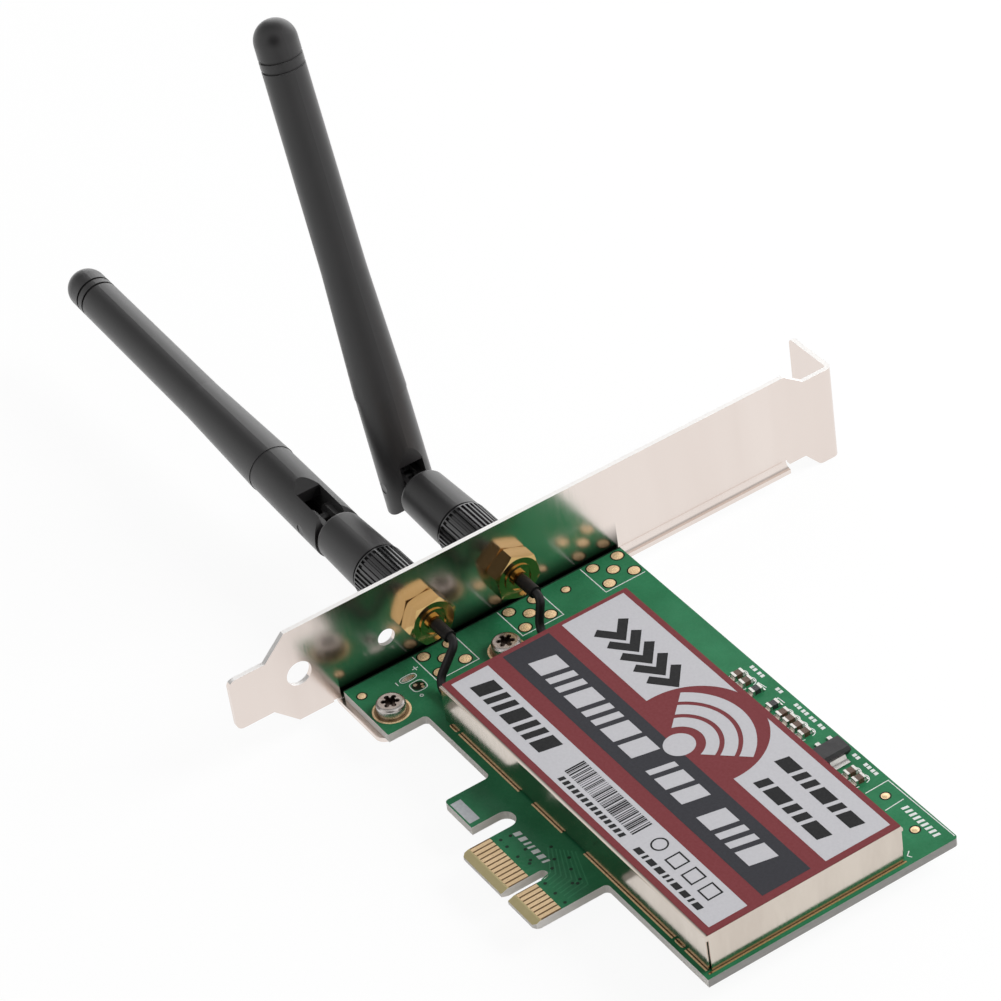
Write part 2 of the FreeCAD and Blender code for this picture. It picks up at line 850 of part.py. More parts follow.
def plug_body():
    bead = neck_end + plug_bead_length
    return turned([
        (plug_face, plug_bore_radius), (plug_face, plug_flange_radius), (flange_back, plug_flange_radius),
        (flange_back, plug_neck_radius), (bead, plug_neck_radius),
        (bead - plug_bead_rise, plug_neck_radius + plug_bead_rise),
        (neck_end, plug_neck_radius + plug_bead_rise), (neck_end, plug_bore_radius),
    ])


def plug_insulator():
    return rod(plug_bore_radius, neck_end, plug_face).cut(rod(plug_contact_radius, neck_end, plug_face))


def plug_contact():
    return rod(plug_contact_radius, neck_end, plug_face + plug_contact_reach)


def knuckle():
    # A flared barrel that snaps onto the plug's neck, with two eyes for the hinge pin.
    gap = turn_clearance
    bead = neck_end + plug_bead_length
    wide = plug_neck_radius + plug_bead_rise + gap
    outer = turned([
        (knuckle_start, 0), (knuckle_start, knuckle_wide), (shoulder + knuckle_edge, knuckle_radius),
        (shoulder + knuckle_edge / 4, knuckle_radius - knuckle_edge / 4),
        (shoulder, knuckle_radius - knuckle_edge), (shoulder, 0),
    ])
    cavity = turned([
        (knuckle_start, 0), (knuckle_start, plug_neck_radius + gap), (bead + gap, plug_neck_radius + gap),
        (bead - plug_bead_rise + gap, wide), (neck_end - gap, wide), (neck_end - gap, 0),
    ])
    half = tongue_thick / 2
    tongue = box(pin_x, shoulder, -half, half, -tongue_radius, tongue_radius)
    eye = Part.makeCylinder(tongue_radius, tongue_thick, Vector(pin_x, -half, 0), axis_y)
    hole = Part.makeCylinder(pin_radius + turn_clearance, tongue_thick, Vector(pin_x, -half, 0), axis_y)
    inner = tongue_slit / 2
    slit = box(pin_x - tongue_radius, shoulder, -inner, inner, -tongue_radius, tongue_radius)
    return outer.cut(cavity).fuse(tongue.fuse(eye).cut(slit)).cut(hole)


def hinge_pin():
    half = fork_radius - pin_recess
    return Part.makeCylinder(pin_radius, 2 * half, Vector(pin_x, -half, 0), axis_y)


def blade_fork():
    # The arms' ends are round on the side they fold towards and square on the other.
    end = pin_x + arm_radius
    wide = fork_radius
    body = turned([(end, 0), (end, wide), (pin_x, wide), (seam, seam_radius - fork_step), (seam, 0)])
    ends = Part.makeCylinder(arm_radius, 2 * wide, Vector(pin_x, -wide, 0), axis_y)
    square = box(pin_x, end, -wide, wide, -wide, 0)
    keep = ends.fuse([box(seam, pin_x, -wide, wide, -wide, wide), square])
    back = pin_x - slot_back
    ramp = prism([
        Vector(back - ramp_length, -wide, wide), Vector(back, -wide, wide - ramp_drop),
        Vector(back, -wide, wide + past), Vector(back - ramp_length, -wide, wide + past),
    ], Vector(0, 2 * wide, 0))
    half = slot_width / 2
    slot = box(back, end, -half, half, slot_floor, fork_radius)
    pocket = box(pin_x - pocket_back, end, -half, half, slot_floor, pocket_top)
    body = body.common(keep).cut([slot.fuse(pocket), ramp])
    boss_start = tongue_thick / 2 + boss_clearance
    for side in (1, -1):
        start = Vector(pin_x, side * boss_start, 0)
        body = body.fuse(Part.makeCylinder(boss_radius, half - boss_start, start, axis_y * side))
    spigot_end = seam - spigot_length
    spigot_radius = seam_radius - tube_wall - fit_clearance
    narrow = spigot_radius - taper * spigot_length
    spigot = turned([(seam, 0), (seam, spigot_radius), (spigot_end, narrow), (spigot_end, 0)])
    bore = rod(coax_radius + fit_clearance, spigot_end, pin_x - pocket_back)
    hole = Part.makeCylinder(pin_radius, 2 * fork_radius, Vector(pin_x, -fork_radius, 0), axis_y)
    return body.fuse(spigot).cut(bore).cut(hole)


def blade_tube():
    # A slim tube that flares to the seam, with a domed tip and two turned grooves near it.
    half = groove_width / 2
    flare = pin_x - flare_offset
    slim = (flare_radius - tip_radius) / (flare - dome)
    points = [(seam, seam_radius - tube_wall), (seam, seam_radius), (flare, flare_radius)]
    for offset in groove_offsets:
        for step, depth in ((half, 0), (half, groove_depth), (-half, groove_depth), (-half, 0)):
            x = pin_x - offset + step
            points.append((x, tip_radius + slim * (x - dome) - depth))
    points.append((dome, tip_radius))
    corners = [Vector(x, 0, r) for x, r in points]
    tip = Vector(dome - tip_radius, 0, 0)
    lean = tip_radius * math.sqrt(0.5)
    cap = Part.Arc(corners[-1], Vector(dome - lean, 0, lean), tip).toShape()
    inside = [tip, Vector(dome, 0, 0), Vector(dome, 0, tip_radius - tube_wall), corners[0]]
    edges = [Part.makeLine(a, b) for a, b in zip(corners[:-1], corners[1:])]
    edges.append(cap)
    edges += [Part.makeLine(a, b) for a, b in zip(inside[:-1], inside[1:])]
    return Part.Face(Part.Wire(edges)).revolve(Vector(0, 0, 0), axis_x, 360)


def antenna_coax():
    return rod(coax_radius, coax_end, pin_x - pocket_back)


def radiator_sleeve():
    # A brass quarter-wave sleeve, closed round the coax at its outer end.
    end = coax_end + sleeve_length
    tube = rod(sleeve_radius, coax_end, end)
    tube = tube.cut(rod(sleeve_radius - sleeve_wall, coax_end + sleeve_wall, end))
    return tube.cut(rod(coax_radius, coax_end, coax_end + sleeve_wall))


def radiator_wire():
    return rod(wire_radius, coax_end - wire_length, coax_end)


def on_jack(shape, index):
    shape.translate(Vector(0, jack_y[index], jack_z))
    return shape


def on_blade(shape, index):
    shape.rotate(Vector(pin_x, 0, 0), axis_y, antenna_tilt[index])
    return on_jack(shape, index)


parts = {
    "circuit_board": circuit_board(),
    "edge_contacts_front": edge_contacts(1),
    "edge_contacts_back": edge_contacts(-1),
    "plated_pads": plated_pads(),
    "bracket": bracket(),
    "bracket_screws": [bracket_screw(y) for y in screw_y],
    "shield_can": shield_can(),
    "can_label": can_label(),
    "module_board": module_board(),
    "module_socket": module_socket(),
    "module_posts": module_posts(),
    "module_screws": module_screws(),
    "radio_chip": radio_chip(),
    "module_crystal": module_crystal(),
    "chip_capacitors": [chip_part(x) for x in capacitor_x],
    "chip_resistors": [chip_part(x) for x in resistor_x],
    "regulator_body": regulator_body(),
    "regulator_leads": regulator_leads(),
}
for index in range(len(jack_y)):
    number = index + 1
    parts[f"jack_body_{number}"] = on_jack(jack_body(index), index)
    parts[f"jack_insulator_{number}"] = on_jack(jack_insulator(), index)
    parts[f"jack_pin_{number}"] = on_jack(jack_pin(), index)
    parts[f"lock_washer_{number}"] = on_jack(lock_washer(), index)
    parts[f"jack_nut_{number}"] = on_jack(jack_nut(index), index)
    parts[f"crimp_ferrule_{number}"] = on_jack(crimp_ferrule(), index)
    parts[f"heat_shrink_{number}"] = on_jack(heat_shrink(), index)
    parts[f"pigtail_cable_{number}"] = pigtail_cable(index)
    parts[f"micro_plug_{number}"] = micro_plug(index)
    parts[f"plug_body_{number}"] = on_jack(plug_body(), index)
    parts[f"plug_insulator_{number}"] = on_jack(plug_insulator(), index)
    parts[f"plug_contact_{number}"] = on_jack(plug_contact(), index)
    parts[f"coupling_nut_{number}"] = on_jack(coupling_nut(), index)
    parts[f"knuckle_{number}"] = on_jack(knuckle(), index)
    parts[f"hinge_pin_{number}"] = on_blade(hinge_pin(), index)
    parts[f"blade_fork_{number}"] = on_blade(blade_fork(), index)
    parts[f"blade_tube_{number}"] = on_blade(blade_tube(), index)
    parts[f"antenna_coax_{number}"] = on_blade(antenna_coax(), index)
    parts[f"radiator_sleeve_{number}"] = on_blade(radiator_sleeve(), index)
    parts[f"radiator_wire_{number}"] = on_blade(radiator_wire(), index)

os.makedirs("parts", exist_ok=True)
for name, shape in parts.items():
    solid = Part.makeCompound(shape) if isinstance(shape, list) else shape
    solid.exportStep(f"parts/{name}.step")
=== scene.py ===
import bmesh
import bpy
import numpy as np
from mathutils import Matrix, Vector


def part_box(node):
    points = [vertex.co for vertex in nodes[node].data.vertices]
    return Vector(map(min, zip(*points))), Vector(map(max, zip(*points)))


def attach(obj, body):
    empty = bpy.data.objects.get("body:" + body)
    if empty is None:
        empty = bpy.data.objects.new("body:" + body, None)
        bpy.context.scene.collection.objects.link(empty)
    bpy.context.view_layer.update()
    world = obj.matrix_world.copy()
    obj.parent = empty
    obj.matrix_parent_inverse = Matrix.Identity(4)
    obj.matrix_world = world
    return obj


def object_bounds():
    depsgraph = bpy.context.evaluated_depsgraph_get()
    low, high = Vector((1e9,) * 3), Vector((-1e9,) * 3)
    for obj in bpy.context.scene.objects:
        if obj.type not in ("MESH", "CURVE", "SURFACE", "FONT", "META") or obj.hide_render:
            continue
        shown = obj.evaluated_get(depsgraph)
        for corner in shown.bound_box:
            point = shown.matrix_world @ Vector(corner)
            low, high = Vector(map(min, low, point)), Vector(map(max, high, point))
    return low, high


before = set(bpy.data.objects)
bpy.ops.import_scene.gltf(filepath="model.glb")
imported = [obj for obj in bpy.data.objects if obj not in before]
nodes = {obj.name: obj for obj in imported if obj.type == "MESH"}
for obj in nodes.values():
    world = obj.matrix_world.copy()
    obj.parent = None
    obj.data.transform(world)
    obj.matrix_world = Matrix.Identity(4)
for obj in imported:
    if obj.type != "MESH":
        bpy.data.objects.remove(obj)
cadLow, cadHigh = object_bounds()
scene = bpy.context.scene
mm = 0.001


def boxOf(node):
    low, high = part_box(node)
    return np.array(low) / mm, np.array(high) / mm  # in mm


# camera: place in mm, picture axes and lens, fitted to the photograph
cameraSet = {
    "place": (420.434, -210.799, 453.994),
    "right": (0.54485, 0.82994, -0.11972),
    "down": (0.47539, -0.42334, -0.77122),
    "lens": 153.12,
    "sensor": 36.0,
    "shift": (-0.0028, -0.0005),
    "nearest": 0.01,  # m
}


def makeCamera(look):
    right = np.array(look["right"])
    down = np.array(look["down"])
    ahead = np.cross(right, down)
    turn = np.eye(4)
    turn[:3, :3] = np.column_stack([right, -down, -ahead])
    turn[:3, 3] = np.array(look["place"]) * mm
    data = bpy.data.cameras.new("camera")
    data.sensor_width = look["sensor"]
    data.lens = look["lens"]
    data.shift_x, data.shift_y = look["shift"]
    data.clip_start = look["nearest"]
    camera = bpy.data.objects.new("camera", data)
    camera.matrix_world = Matrix(turn.tolist())
    scene.collection.objects.link(camera)
    scene.camera = camera


makeCamera(cameraSet)


# mesh helpers: every shape is a grid of points worked out as whole arrays
def gridFaces(rows, cols, wrapCols=False):
    # quads between neighbouring rows and columns of a rows x cols grid
    r = np.arange(rows - 1)[:, None]
    c = np.arange(cols if wrapCols else cols - 1)[None, :]
    c1 = (c + 1) % cols
    quads = [r * cols + c, r * cols + c1, (r + 1) * cols + c1, (r + 1) * cols + c]
    return np.stack([np.broadcast_to(q, (r.size, c.size)) for q in quads], -1).reshape(-1, 4)


def slab(x, y, low, high, wrap=False):
    # a thin plate: the grid x, y at two heights, closed by walls round its rim; high may vary over it
    rows, cols = x.shape
    count = rows * cols
    top = np.stack([x, y, np.broadcast_to(high, x.shape)], -1).reshape(-1, 3)
    bottom = np.stack([x, y, np.full_like(x, low)], -1).reshape(-1, 3)
    face = gridFaces(rows, cols, wrapCols=wrap)
    index = np.arange(count).reshape(rows, cols)
    if wrap:
        rims = [np.append(index[0], index[0, 0]), np.append(index[-1], index[-1, 0])[::-1]]
    else:
        rims = [np.concatenate([index[0, :-1], index[:-1, -1], index[-1, :0:-1], index[::-1, 0]])]
    walls = [np.stack([r[1:], r[:-1], r[:-1] + count, r[1:] + count], -1) for r in rims]
    return np.concatenate([top, bottom]), np.concatenate([face, face[:, ::-1] + count] + walls)


def rectangle(x0, x1, y0, y1, slant=0.0):
    # u runs across, v runs up and leans over by slant
    u, v = np.meshgrid((0.0, 1.0), (0.0, 1.0))
    return x0 + (x1 - x0) * u + slant * v, y0 + (y1 - y0) * v


def ribbon(points, width):
    # a flat line: each point of the path moved half the width both ways along its mitre
    path = np.array(points, float)
    step = np.diff(path, axis=0)
    step /= np.linalg.norm(step, axis=1)[:, None]
    before = np.vstack([step[:1], step])
    after = np.vstack([step, step[-1:]])
    side = np.stack([-(before + after)[:, 1], (before + after)[:, 0]], -1)
    side /= np.linalg.norm(side, axis=1)[:, None]
    normal = np.stack([-after[:, 1], after[:, 0]], -1)
    side *= (width / 2 / np.sum(side * normal, axis=1))[:, None]
    left, right = path - side, path + side
    return np.stack([left[:, 0], right[:, 0]]), np.stack([left[:, 1], right[:, 1]])


dotSteps = 7  # grid points across a disc under 1 mm


def disc(x, y, radius, steps=13):
    # a square grid pressed into a circle, so that it has no pole
    u, v = np.meshgrid(np.linspace(-1, 1, steps), np.linspace(-1, 1, steps))
    return x + radius * u * np.sqrt(1 - v * v / 2), y + radius * v * np.sqrt(1 - u * u / 2)


def ring(x, y, inner, outer, steps=48):
    # the angle runs right round one way and the radius from outer to inner the other
    turn = np.linspace(360, 0, steps, endpoint=False)
    angle, radius = np.meshgrid(np.radians(turn), (outer, inner))
    return x + radius * np.cos(angle), y + radius * np.sin(angle)


def joined(shapes):
    points, faces, start = [], [], 0
    for p, f in shapes:
        points.append(p)
        faces.append(f + start)
        start += len(p)
    return np.concatenate(points), np.concatenate(faces)


weldReach = 1e-8  # m


def makePiece(name, shapes, material, body, smooth=False):
    points, faces = joined(shapes)
    mesh = bpy.data.meshes.new(name)
    mesh.from_pydata((points * mm).tolist(), [], faces.tolist())
    work = bmesh.new()
    work.from_mesh(mesh)
    bmesh.ops.remove_doubles(work, verts=work.verts, dist=weldReach)
    bmesh.ops.recalc_face_normals(work, faces=work.faces)
    work.to_mesh(mesh)
    work.free()
    mesh.polygons.foreach_set("use_smooth", np.full(len(mesh.polygons), smooth))
    mesh.materials.append(material)
    piece = bpy.data.objects.new(name, mesh)
    scene.collection.objects.link(piece)
    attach(piece, body)


# shader helpers
def startMaterial(name, sockets):
    material = bpy.data.materials.new(name)
    material.use_nodes = True
    tree = material.node_tree
    base = tree.nodes["Principled BSDF"]
    for socket, value in sockets.items():
        base.inputs[socket].default_value = value
    return material, tree, base


def addNode(tree, kind, sockets=None, **settings):
    made = tree.nodes.new(kind)
    for key, value in settings.items():
        setattr(made, key, value)
    for key, value in (sockets or {}).items():
        if isinstance(value, bpy.types.NodeSocket):
            tree.links.new(value, made.inputs[key])
        else:
            made.inputs[key].default_value = value
    return made


def calc(tree, operation, a, b=0.0, c=0.0):
    return addNode(tree, "ShaderNodeMath", {0: a, 1: b, 2: c}, operation=operation).outputs[0]


def mixed(tree, share, a, b):
    made = addNode(tree, "ShaderNodeMix", {0: share, 6: a, 7: b}, data_type="RGBA")
    return made.outputs[2]


def blend(tree, share, tints):
    return mixed(tree, share, rgb(tints[0]), rgb(tints[1]))


def between(tree, share, a, b):
    # a number that share carries from a to b
    return addNode(tree, "ShaderNodeMix", {0: share, 2: a, 3: b}, data_type="FLOAT").outputs[0]


def spread(tree, value, fromLow, fromHigh, toLow, toHigh):
    sockets = {"Value": value, "From Min": fromLow, "From Max": fromHigh, "To Min": toLow, "To Max": toHigh}
    return addNode(tree, "ShaderNodeMapRange", sockets).outputs[0]


def place(tree):
    return addNode(tree, "ShaderNodeTexCoord").outputs["Object"]


# noise that the finishes share: its roughness and detail, and the spans of it that are used
noiseSet = {"rough": 0.6, "detail": 4.0, "fineDetail": 2.0,
            "cloudSpan": (0.35, 0.65), "fineSpan": (0.3, 0.7)}


def grain(tree, size, stretch=(1, 1, 1), detail=noiseSet["detail"]):
    # cloudy grain with spots about size mm across, drawn out along the axes by stretch
    scale = [1 / (size * mm * s) for s in stretch]
    scaled = addNode(tree, "ShaderNodeMapping", {"Vector": place(tree), "Scale": scale})
    sockets = {"Vector": scaled.outputs[0], "Scale": 1.0, "Detail": detail, "Roughness": noiseSet["rough"]}
    return addNode(tree, "ShaderNodeTexNoise", sockets).outputs["Fac"]


def clouded(tree, noise, tints):
    return blend(tree, spread(tree, noise, *noiseSet["cloudSpan"], 0.0, 1.0), tints)


def roughFrom(tree, base, noise, rough):
    # the roughness wanders over its range with the noise
    tree.links.new(spread(tree, noise, *noiseSet["fineSpan"], *rough), base.inputs["Roughness"])


def bumpFrom(tree, base, height, depth):
    # depth in mm
    sockets = {"Height": height, "Distance": depth * mm, "Strength": 1.0}
    bump = addNode(tree, "ShaderNodeBump", sockets)
    tree.links.new(bump.outputs[0], base.inputs["Normal"])


def rgb(color):
    return (*color, 1.0)


def axes(tree):
    return addNode(tree, "ShaderNodeSeparateXYZ", {0: place(tree)}).outputs


def facing(tree):
    # the three parts of the surface's normal
    normal = addNode(tree, "ShaderNodeNewGeometry").outputs["Normal"]
    return addNode(tree, "ShaderNodeSeparateXYZ", {0: normal}).outputs


def near(tree, value, middle, half):
    # 1 where value lies within half of middle, both in mm
    return calc(tree, "COMPARE", value, middle * mm, half * mm)


def finish(name, look):
    # two close tints clouded together, an uneven polish and a fine bump
    sockets = {"Metallic": look.get("metal", 0.0), "IOR": look.get("ior", 1.5)}
    sockets.update(look.get("sockets", {}))
    material, tree, base = startMaterial(name, sockets)
    stretch = look.get("stretch", (1, 1, 1))
    tint = clouded(tree, grain(tree, look["cloud"], stretch), look["tints"])
    tree.links.new(tint, base.inputs["Base Color"])
    fine = grain(tree, look["grain"], stretch, noiseSet["fineDetail"])
    roughFrom(tree, base, fine, look["rough"])
    bumpFrom(tree, base, fine, look["depth"])
    return material


def dress(material, *names):
    for name in names:
        mesh = nodes[name].data
        mesh.materials.clear()
        mesh.materials.append(material)


def pair(name):
    return [f"{name}_1", f"{name}_2"]


# floor, backdrop and lamps
stageSet = {
    "reach": 4.0,  # m
    "gap": 0.02,  # mm under the lowest point
    "shadow": 0.07,  # share of lit paper in what camera and polish see, the rest plain white
    "floorTint": (0.96, 0.96, 0.96),
    "clouds": 60.0, "paper": (0.98, 1.0),  # mm across, and the levels that they wander between
    "ambient": 0.30,
    "darks": (  # where polish sees the room dark: direction, cosines where that starts and is full, level
        ((-0.67, 0.34, 0.66), (0.35, 0.85), 0.35),
        ((0.695, -0.522, 0.491), (0.80, 0.95), 0.08),
    ),
    "lamps": {
        "key": {"from": (0.30, 1.00, 0.66), "size": 0.7, "power": 15.6, "inPolish": False},
        "rim": {"from": (-0.80, 0.90, 0.30), "size": 1.5, "power": 11.0, "inPolish": True},
        "fill": {"from": (-0.35, -0.3, 1.0), "size": 0.8, "power": 0.7, "inPolish": False},
    },
}


def lightPaths(tree):
    # 1 for rays that the camera, polish or glass sends out
    ways = addNode(tree, "ShaderNodeLightPath").outputs
    seen = calc(tree, "MAXIMUM", ways["Is Camera Ray"], ways["Is Glossy Ray"])
    return calc(tree, "MAXIMUM", seen, ways["Is Transmission Ray"]), ways


def makeFloor(look):
    reach = look["reach"] / mm
    x, y = rectangle(-reach, reach, -reach, reach)
    level = np.full_like(x, cadLow.z / mm - look["gap"])
    points = np.stack([x, y, level], -1).reshape(-1, 3)
    material = bpy.data.materials.new("floorPaper")
    material.use_nodes = True
    tree = material.node_tree
    tree.nodes.clear()
    white = addNode(tree, "ShaderNodeEmission", {"Strength": 1.0})
    cloud = spread(tree, grain(tree, look["clouds"]), *noiseSet["fineSpan"], *look["paper"])
    tint = mixed(tree, cloud, (0, 0, 0, 1), rgb(look["floorTint"]))
    paper = addNode(tree, "ShaderNodeBsdfDiffuse", {"Color": tint})
    shares = {0: look["shadow"], 1: white.outputs[0], 2: paper.outputs[0]}
    lit = addNode(tree, "ShaderNodeMixShader", shares)
    seen, _ = lightPaths(tree)
    both = addNode(tree, "ShaderNodeMixShader", {0: seen, 1: paper.outputs[0], 2: lit.outputs[0]})
    addNode(tree, "ShaderNodeOutputMaterial", {"Surface": both.outputs[0]})
    mesh = bpy.data.meshes.new("floor")
    mesh.from_pydata((points * mm).tolist(), [], gridFaces(2, 2).tolist())
    mesh.materials.append(material)
    floor = bpy.data.objects.new("floor", mesh)
    scene.collection.objects.link(floor)


def makeWorld(look):
    world = bpy.data.worlds.new("studio")
    scene.world = world
    world.use_nodes = True
    tree = world.node_tree
    tree.nodes.clear()
    seen, ways = lightPaths(tree)
    ahead = addNode(tree, "ShaderNodeTexCoord").outputs["Generated"]
    levels = []
    for towards, reach, dim in look["darks"]:
        cosine = addNode(tree, "ShaderNodeVectorMath", {0: ahead, 1: towards}, operation="DOT_PRODUCT")
        levels.append(spread(tree, cosine.outputs["Value"], *reach, 1.0, dim))
    dome = calc(tree, "MINIMUM", *levels)
    forCamera = calc(tree, "MAXIMUM", dome, ways["Is Camera Ray"])
    level = between(tree, seen, look["ambient"], forCamera)
    light = addNode(tree, "ShaderNodeBackground", {"Color": (1, 1, 1, 1), "Strength": level})
    addNode(tree, "ShaderNodeOutputWorld", {"Surface": light.outputs[0]})


def makeLamp(name, look):
    data = bpy.data.lights.new(name, "AREA")
    data.energy = look["power"]
    data.size = look["size"]
    lamp = bpy.data.objects.new(name, data)
    lamp.location = look["from"]
    lamp.visible_glossy = look["inPolish"]  # whether polish shows the lamp itself
    centre = (cadLow + cadHigh) / 2
    lamp.rotation_euler = (lamp.location - centre).to_track_quat("Z", "Y").to_euler()
    scene.collection.objects.link(lamp)


makeFloor(stageSet)
makeWorld(stageSet)
for lampName, lampLook in stageSet["lamps"].items():
    makeLamp(lampName, lampLook)
scene.view_settings.view_transform = "Standard"
print("stage: floor, world and", len(stageSet["lamps"]), "lamps")


# circuit board: green mask on both faces, bare laminate at the cut edges and on the tongue
boardHigh = boxOf("circuit_board")[1]
contactsHigh = boxOf("edge_contacts_front")[1]
boardSet = {
    "greens": ((0.022, 0.150, 0.064), (0.031, 0.195, 0.088)), "cloud": 9.0,
    "laminate": ((0.74, 0.71, 0.67), (0.88, 0.85, 0.81)), "weave": 0.5, "weaveStretch": (6, 6, 0.3),
    "farEnd": ((0.24, 0.235, 0.225), (0.36, 0.35, 0.335)), "farDepth": 1.0,  # greyer cut at the far end
    "tongue": ((0.47, 0.40, 0.20), (0.55, 0.47, 0.27)), "tongueGrain": 1.5, "bevelTo": 1.5,
    "stripes": ((0.13, 0.08, 0.038), (0.18, 0.115, 0.06)), "stripeGrain": 0.4,  # between the contacts: bare laminate darkened as painted shade
    "maskLap": 0.03,  # mm that the mask reaches in between the contacts
    "tongueEnds": (-12.6, 8.6),
    "margin": -56.45, "marginShadeTint": (0.013, 0.032, 0.019),  # painted shade: dark strip along the bracket, where the board meets the plate
    "flatFrom": 0.85, "endFrom": 0.7,  # how far a normal leans to z or x to count as face or far end
    "rough": (0.22, 0.32), "bareRough": 0.75, "polishGrain": 1.2, "ior": 1.18,
    "waves": 1.6, "waveDetail": 1.0, "depth": 0.006,
}


def boardFinish(look):
    material, tree, base = startMaterial("solderMask", {"IOR": look["ior"]})
    x, y, _ = axes(tree)
    towards = facing(tree)
    green = clouded(tree, grain(tree, look["cloud"]), look["greens"])
    weave = grain(tree, look["weave"], look["weaveStretch"], noiseSet["fineDetail"])
    atEnd = calc(tree, "MULTIPLY", calc(tree, "GREATER_THAN", towards[0], look["endFrom"]),
                 near(tree, x, boardHigh[0], look["farDepth"]))
    laminate = mixed(tree, atEnd, blend(tree, weave, look["laminate"]), blend(tree, weave, look["farEnd"]))
    bevel = blend(tree, grain(tree, look["tongueGrain"]), look["tongue"])
    # painted shade: the bare laminate between the contacts is darkened
    gaps = blend(tree, grain(tree, look["stripeGrain"]), look["stripes"])
    bare = mixed(tree, calc(tree, "LESS_THAN", y, look["bevelTo"] * mm), gaps, bevel)
    left, right = look["tongueEnds"]
    onTongue = calc(tree, "LESS_THAN", y, (contactsHigh[1] - look["maskLap"]) * mm)
    onTongue = calc(tree, "MULTIPLY", onTongue, near(tree, x, (left + right) / 2, (right - left) / 2))
    flat = calc(tree, "GREATER_THAN", calc(tree, "ABSOLUTE", towards[2]), look["flatFrom"])
    masked = calc(tree, "MULTIPLY", flat, calc(tree, "SUBTRACT", 1.0, onTongue))
    cut = mixed(tree, calc(tree, "MULTIPLY", flat, onTongue), laminate, bare)
    tint = mixed(tree, masked, cut, green)
    # painted shade: the board goes dark beyond the margin, along the bracket
    tint = mixed(tree, calc(tree, "LESS_THAN", x, look["margin"] * mm), tint, rgb(look["marginShadeTint"]))
    tree.links.new(tint, base.inputs["Base Color"])
    gloss = spread(tree, grain(tree, look["polishGrain"]), *noiseSet["fineSpan"], *look["rough"])
    tree.links.new(between(tree, masked, look["bareRough"], gloss), base.inputs["Roughness"])
    bumpFrom(tree, base, grain(tree, look["waves"], detail=look["waveDetail"]), look["depth"])
    return material


dress(boardFinish(boardSet), "circuit_board")

# plating: gold contacts, and pads with painted shade on their long strips at the foot of the can and round
# the screws
contactSet = {"tints": ((0.64, 0.46, 0.26), (0.74, 0.54, 0.32)), "metal": 0.6, "cloud": 3.0,
              "grain": 0.12, "stretch": (1, 8, 1), "rough": (0.26, 0.42), "depth": 0.004}
dress(finish("contactGold", contactSet), "edge_contacts_front", "edge_contacts_back")

padSet = {"tints": ((0.86, 0.60, 0.32), (0.95, 0.72, 0.44)), "metal": 0.3, "rough": (0.18, 0.34),
          "cloud": 1.2, "grain": 0.3, "waves": 0.5, "depth": 0.01,
          "foot": 0.14, "footShadeTint": (0.10, 0.045, 0.012),  # mm of painted shade beside the can's wall
          "farReach": 0.3, "farShadeTint": (0.36, 0.245, 0.10),  # painted shade on the strip along the can's far wall
          # painted shadow of each screw head on the pad round it
          "screwShadowReach": 2.9, "screwShadowTint": (0.24, 0.145, 0.06)}
canLow, canHigh = boxOf("shield_can")
screwPlaces = ((-47.4, 9.3), (-47.4, 31.7))


def nearScrews(tree, x, y, reach):
    # 1 within reach mm of either screw's axis
    inside = []
    for sx, sy in screwPlaces:
        across = calc(tree, "POWER", calc(tree, "SUBTRACT", x, sx * mm), 2.0)
        along = calc(tree, "POWER", calc(tree, "SUBTRACT", y, sy * mm), 2.0)
        inside.append(calc(tree, "LESS_THAN", calc(tree, "ADD", across, along), (reach * mm) ** 2))
    return calc(tree, "MAXIMUM", *inside)


def padFinish(look):
    material, tree, base = startMaterial("padGold", {"Metallic": look["metal"]})
    x, y, _ = axes(tree)
    tint = blend(tree, grain(tree, look["cloud"]), look["tints"])
    # painted shade: the strip along the can's far wall is darker
    beyond = calc(tree, "GREATER_THAN", x, (canHigh[0] - look["farReach"]) * mm)
    tint = mixed(tree, beyond, tint, rgb(look["farShadeTint"]))
    # painted shadow of the screw heads on their pads
    tint = mixed(tree, nearScrews(tree, x, y, look["screwShadowReach"]), tint, rgb(look["screwShadowTint"]))
    # painted shade: a dark foot beside the can's walls
    atLow = near(tree, y, canLow[1], look["foot"])
    atFar = near(tree, x, canHigh[0], look["foot"])
    tint = mixed(tree, calc(tree, "MAXIMUM", atLow, atFar), tint, rgb(look["footShadeTint"]))
    tree.links.new(tint, base.inputs["Base Color"])
    roughFrom(tree, base, grain(tree, look["grain"]), look["rough"])
    bumpFrom(tree, base, grain(tree, look["waves"]), look["depth"])
    return material


padGold = padFinish(padSet)
dress(padGold, "plated_pads", "module_posts")

# folded bracket: bright nickel, its grain drawn out across the plate, with painted shade on its inner face
# just above the board
nickelSet = {"tints": ((0.78, 0.69, 0.64), (0.82, 0.735, 0.685)), "metal": 1.0, "cloud": 14.0,
             "grain": 0.25, "stretch": (1, 1, 14), "rough": (0.16, 0.22), "depth": 0.001,
             "plateIn": -57.15, "plateLap": 0.05,  # the plate's inner face, and mm past it
             "edgeRough": 0.55, "edgeTint": (0.88, 0.86, 0.84), "edgeMetal": 0.15,  # the sheared edge
             "edgeFrom": 0.7, "inFrom": 0.5,  # how far a normal leans to z or x to count as edge or inside
             "boardFrom": 5.4, "dimTo": 5.6,  # where the board starts, and mm over it of painted shade
             "dim": (0.03, 0.034, 0.026), "dimShare": 0.97}


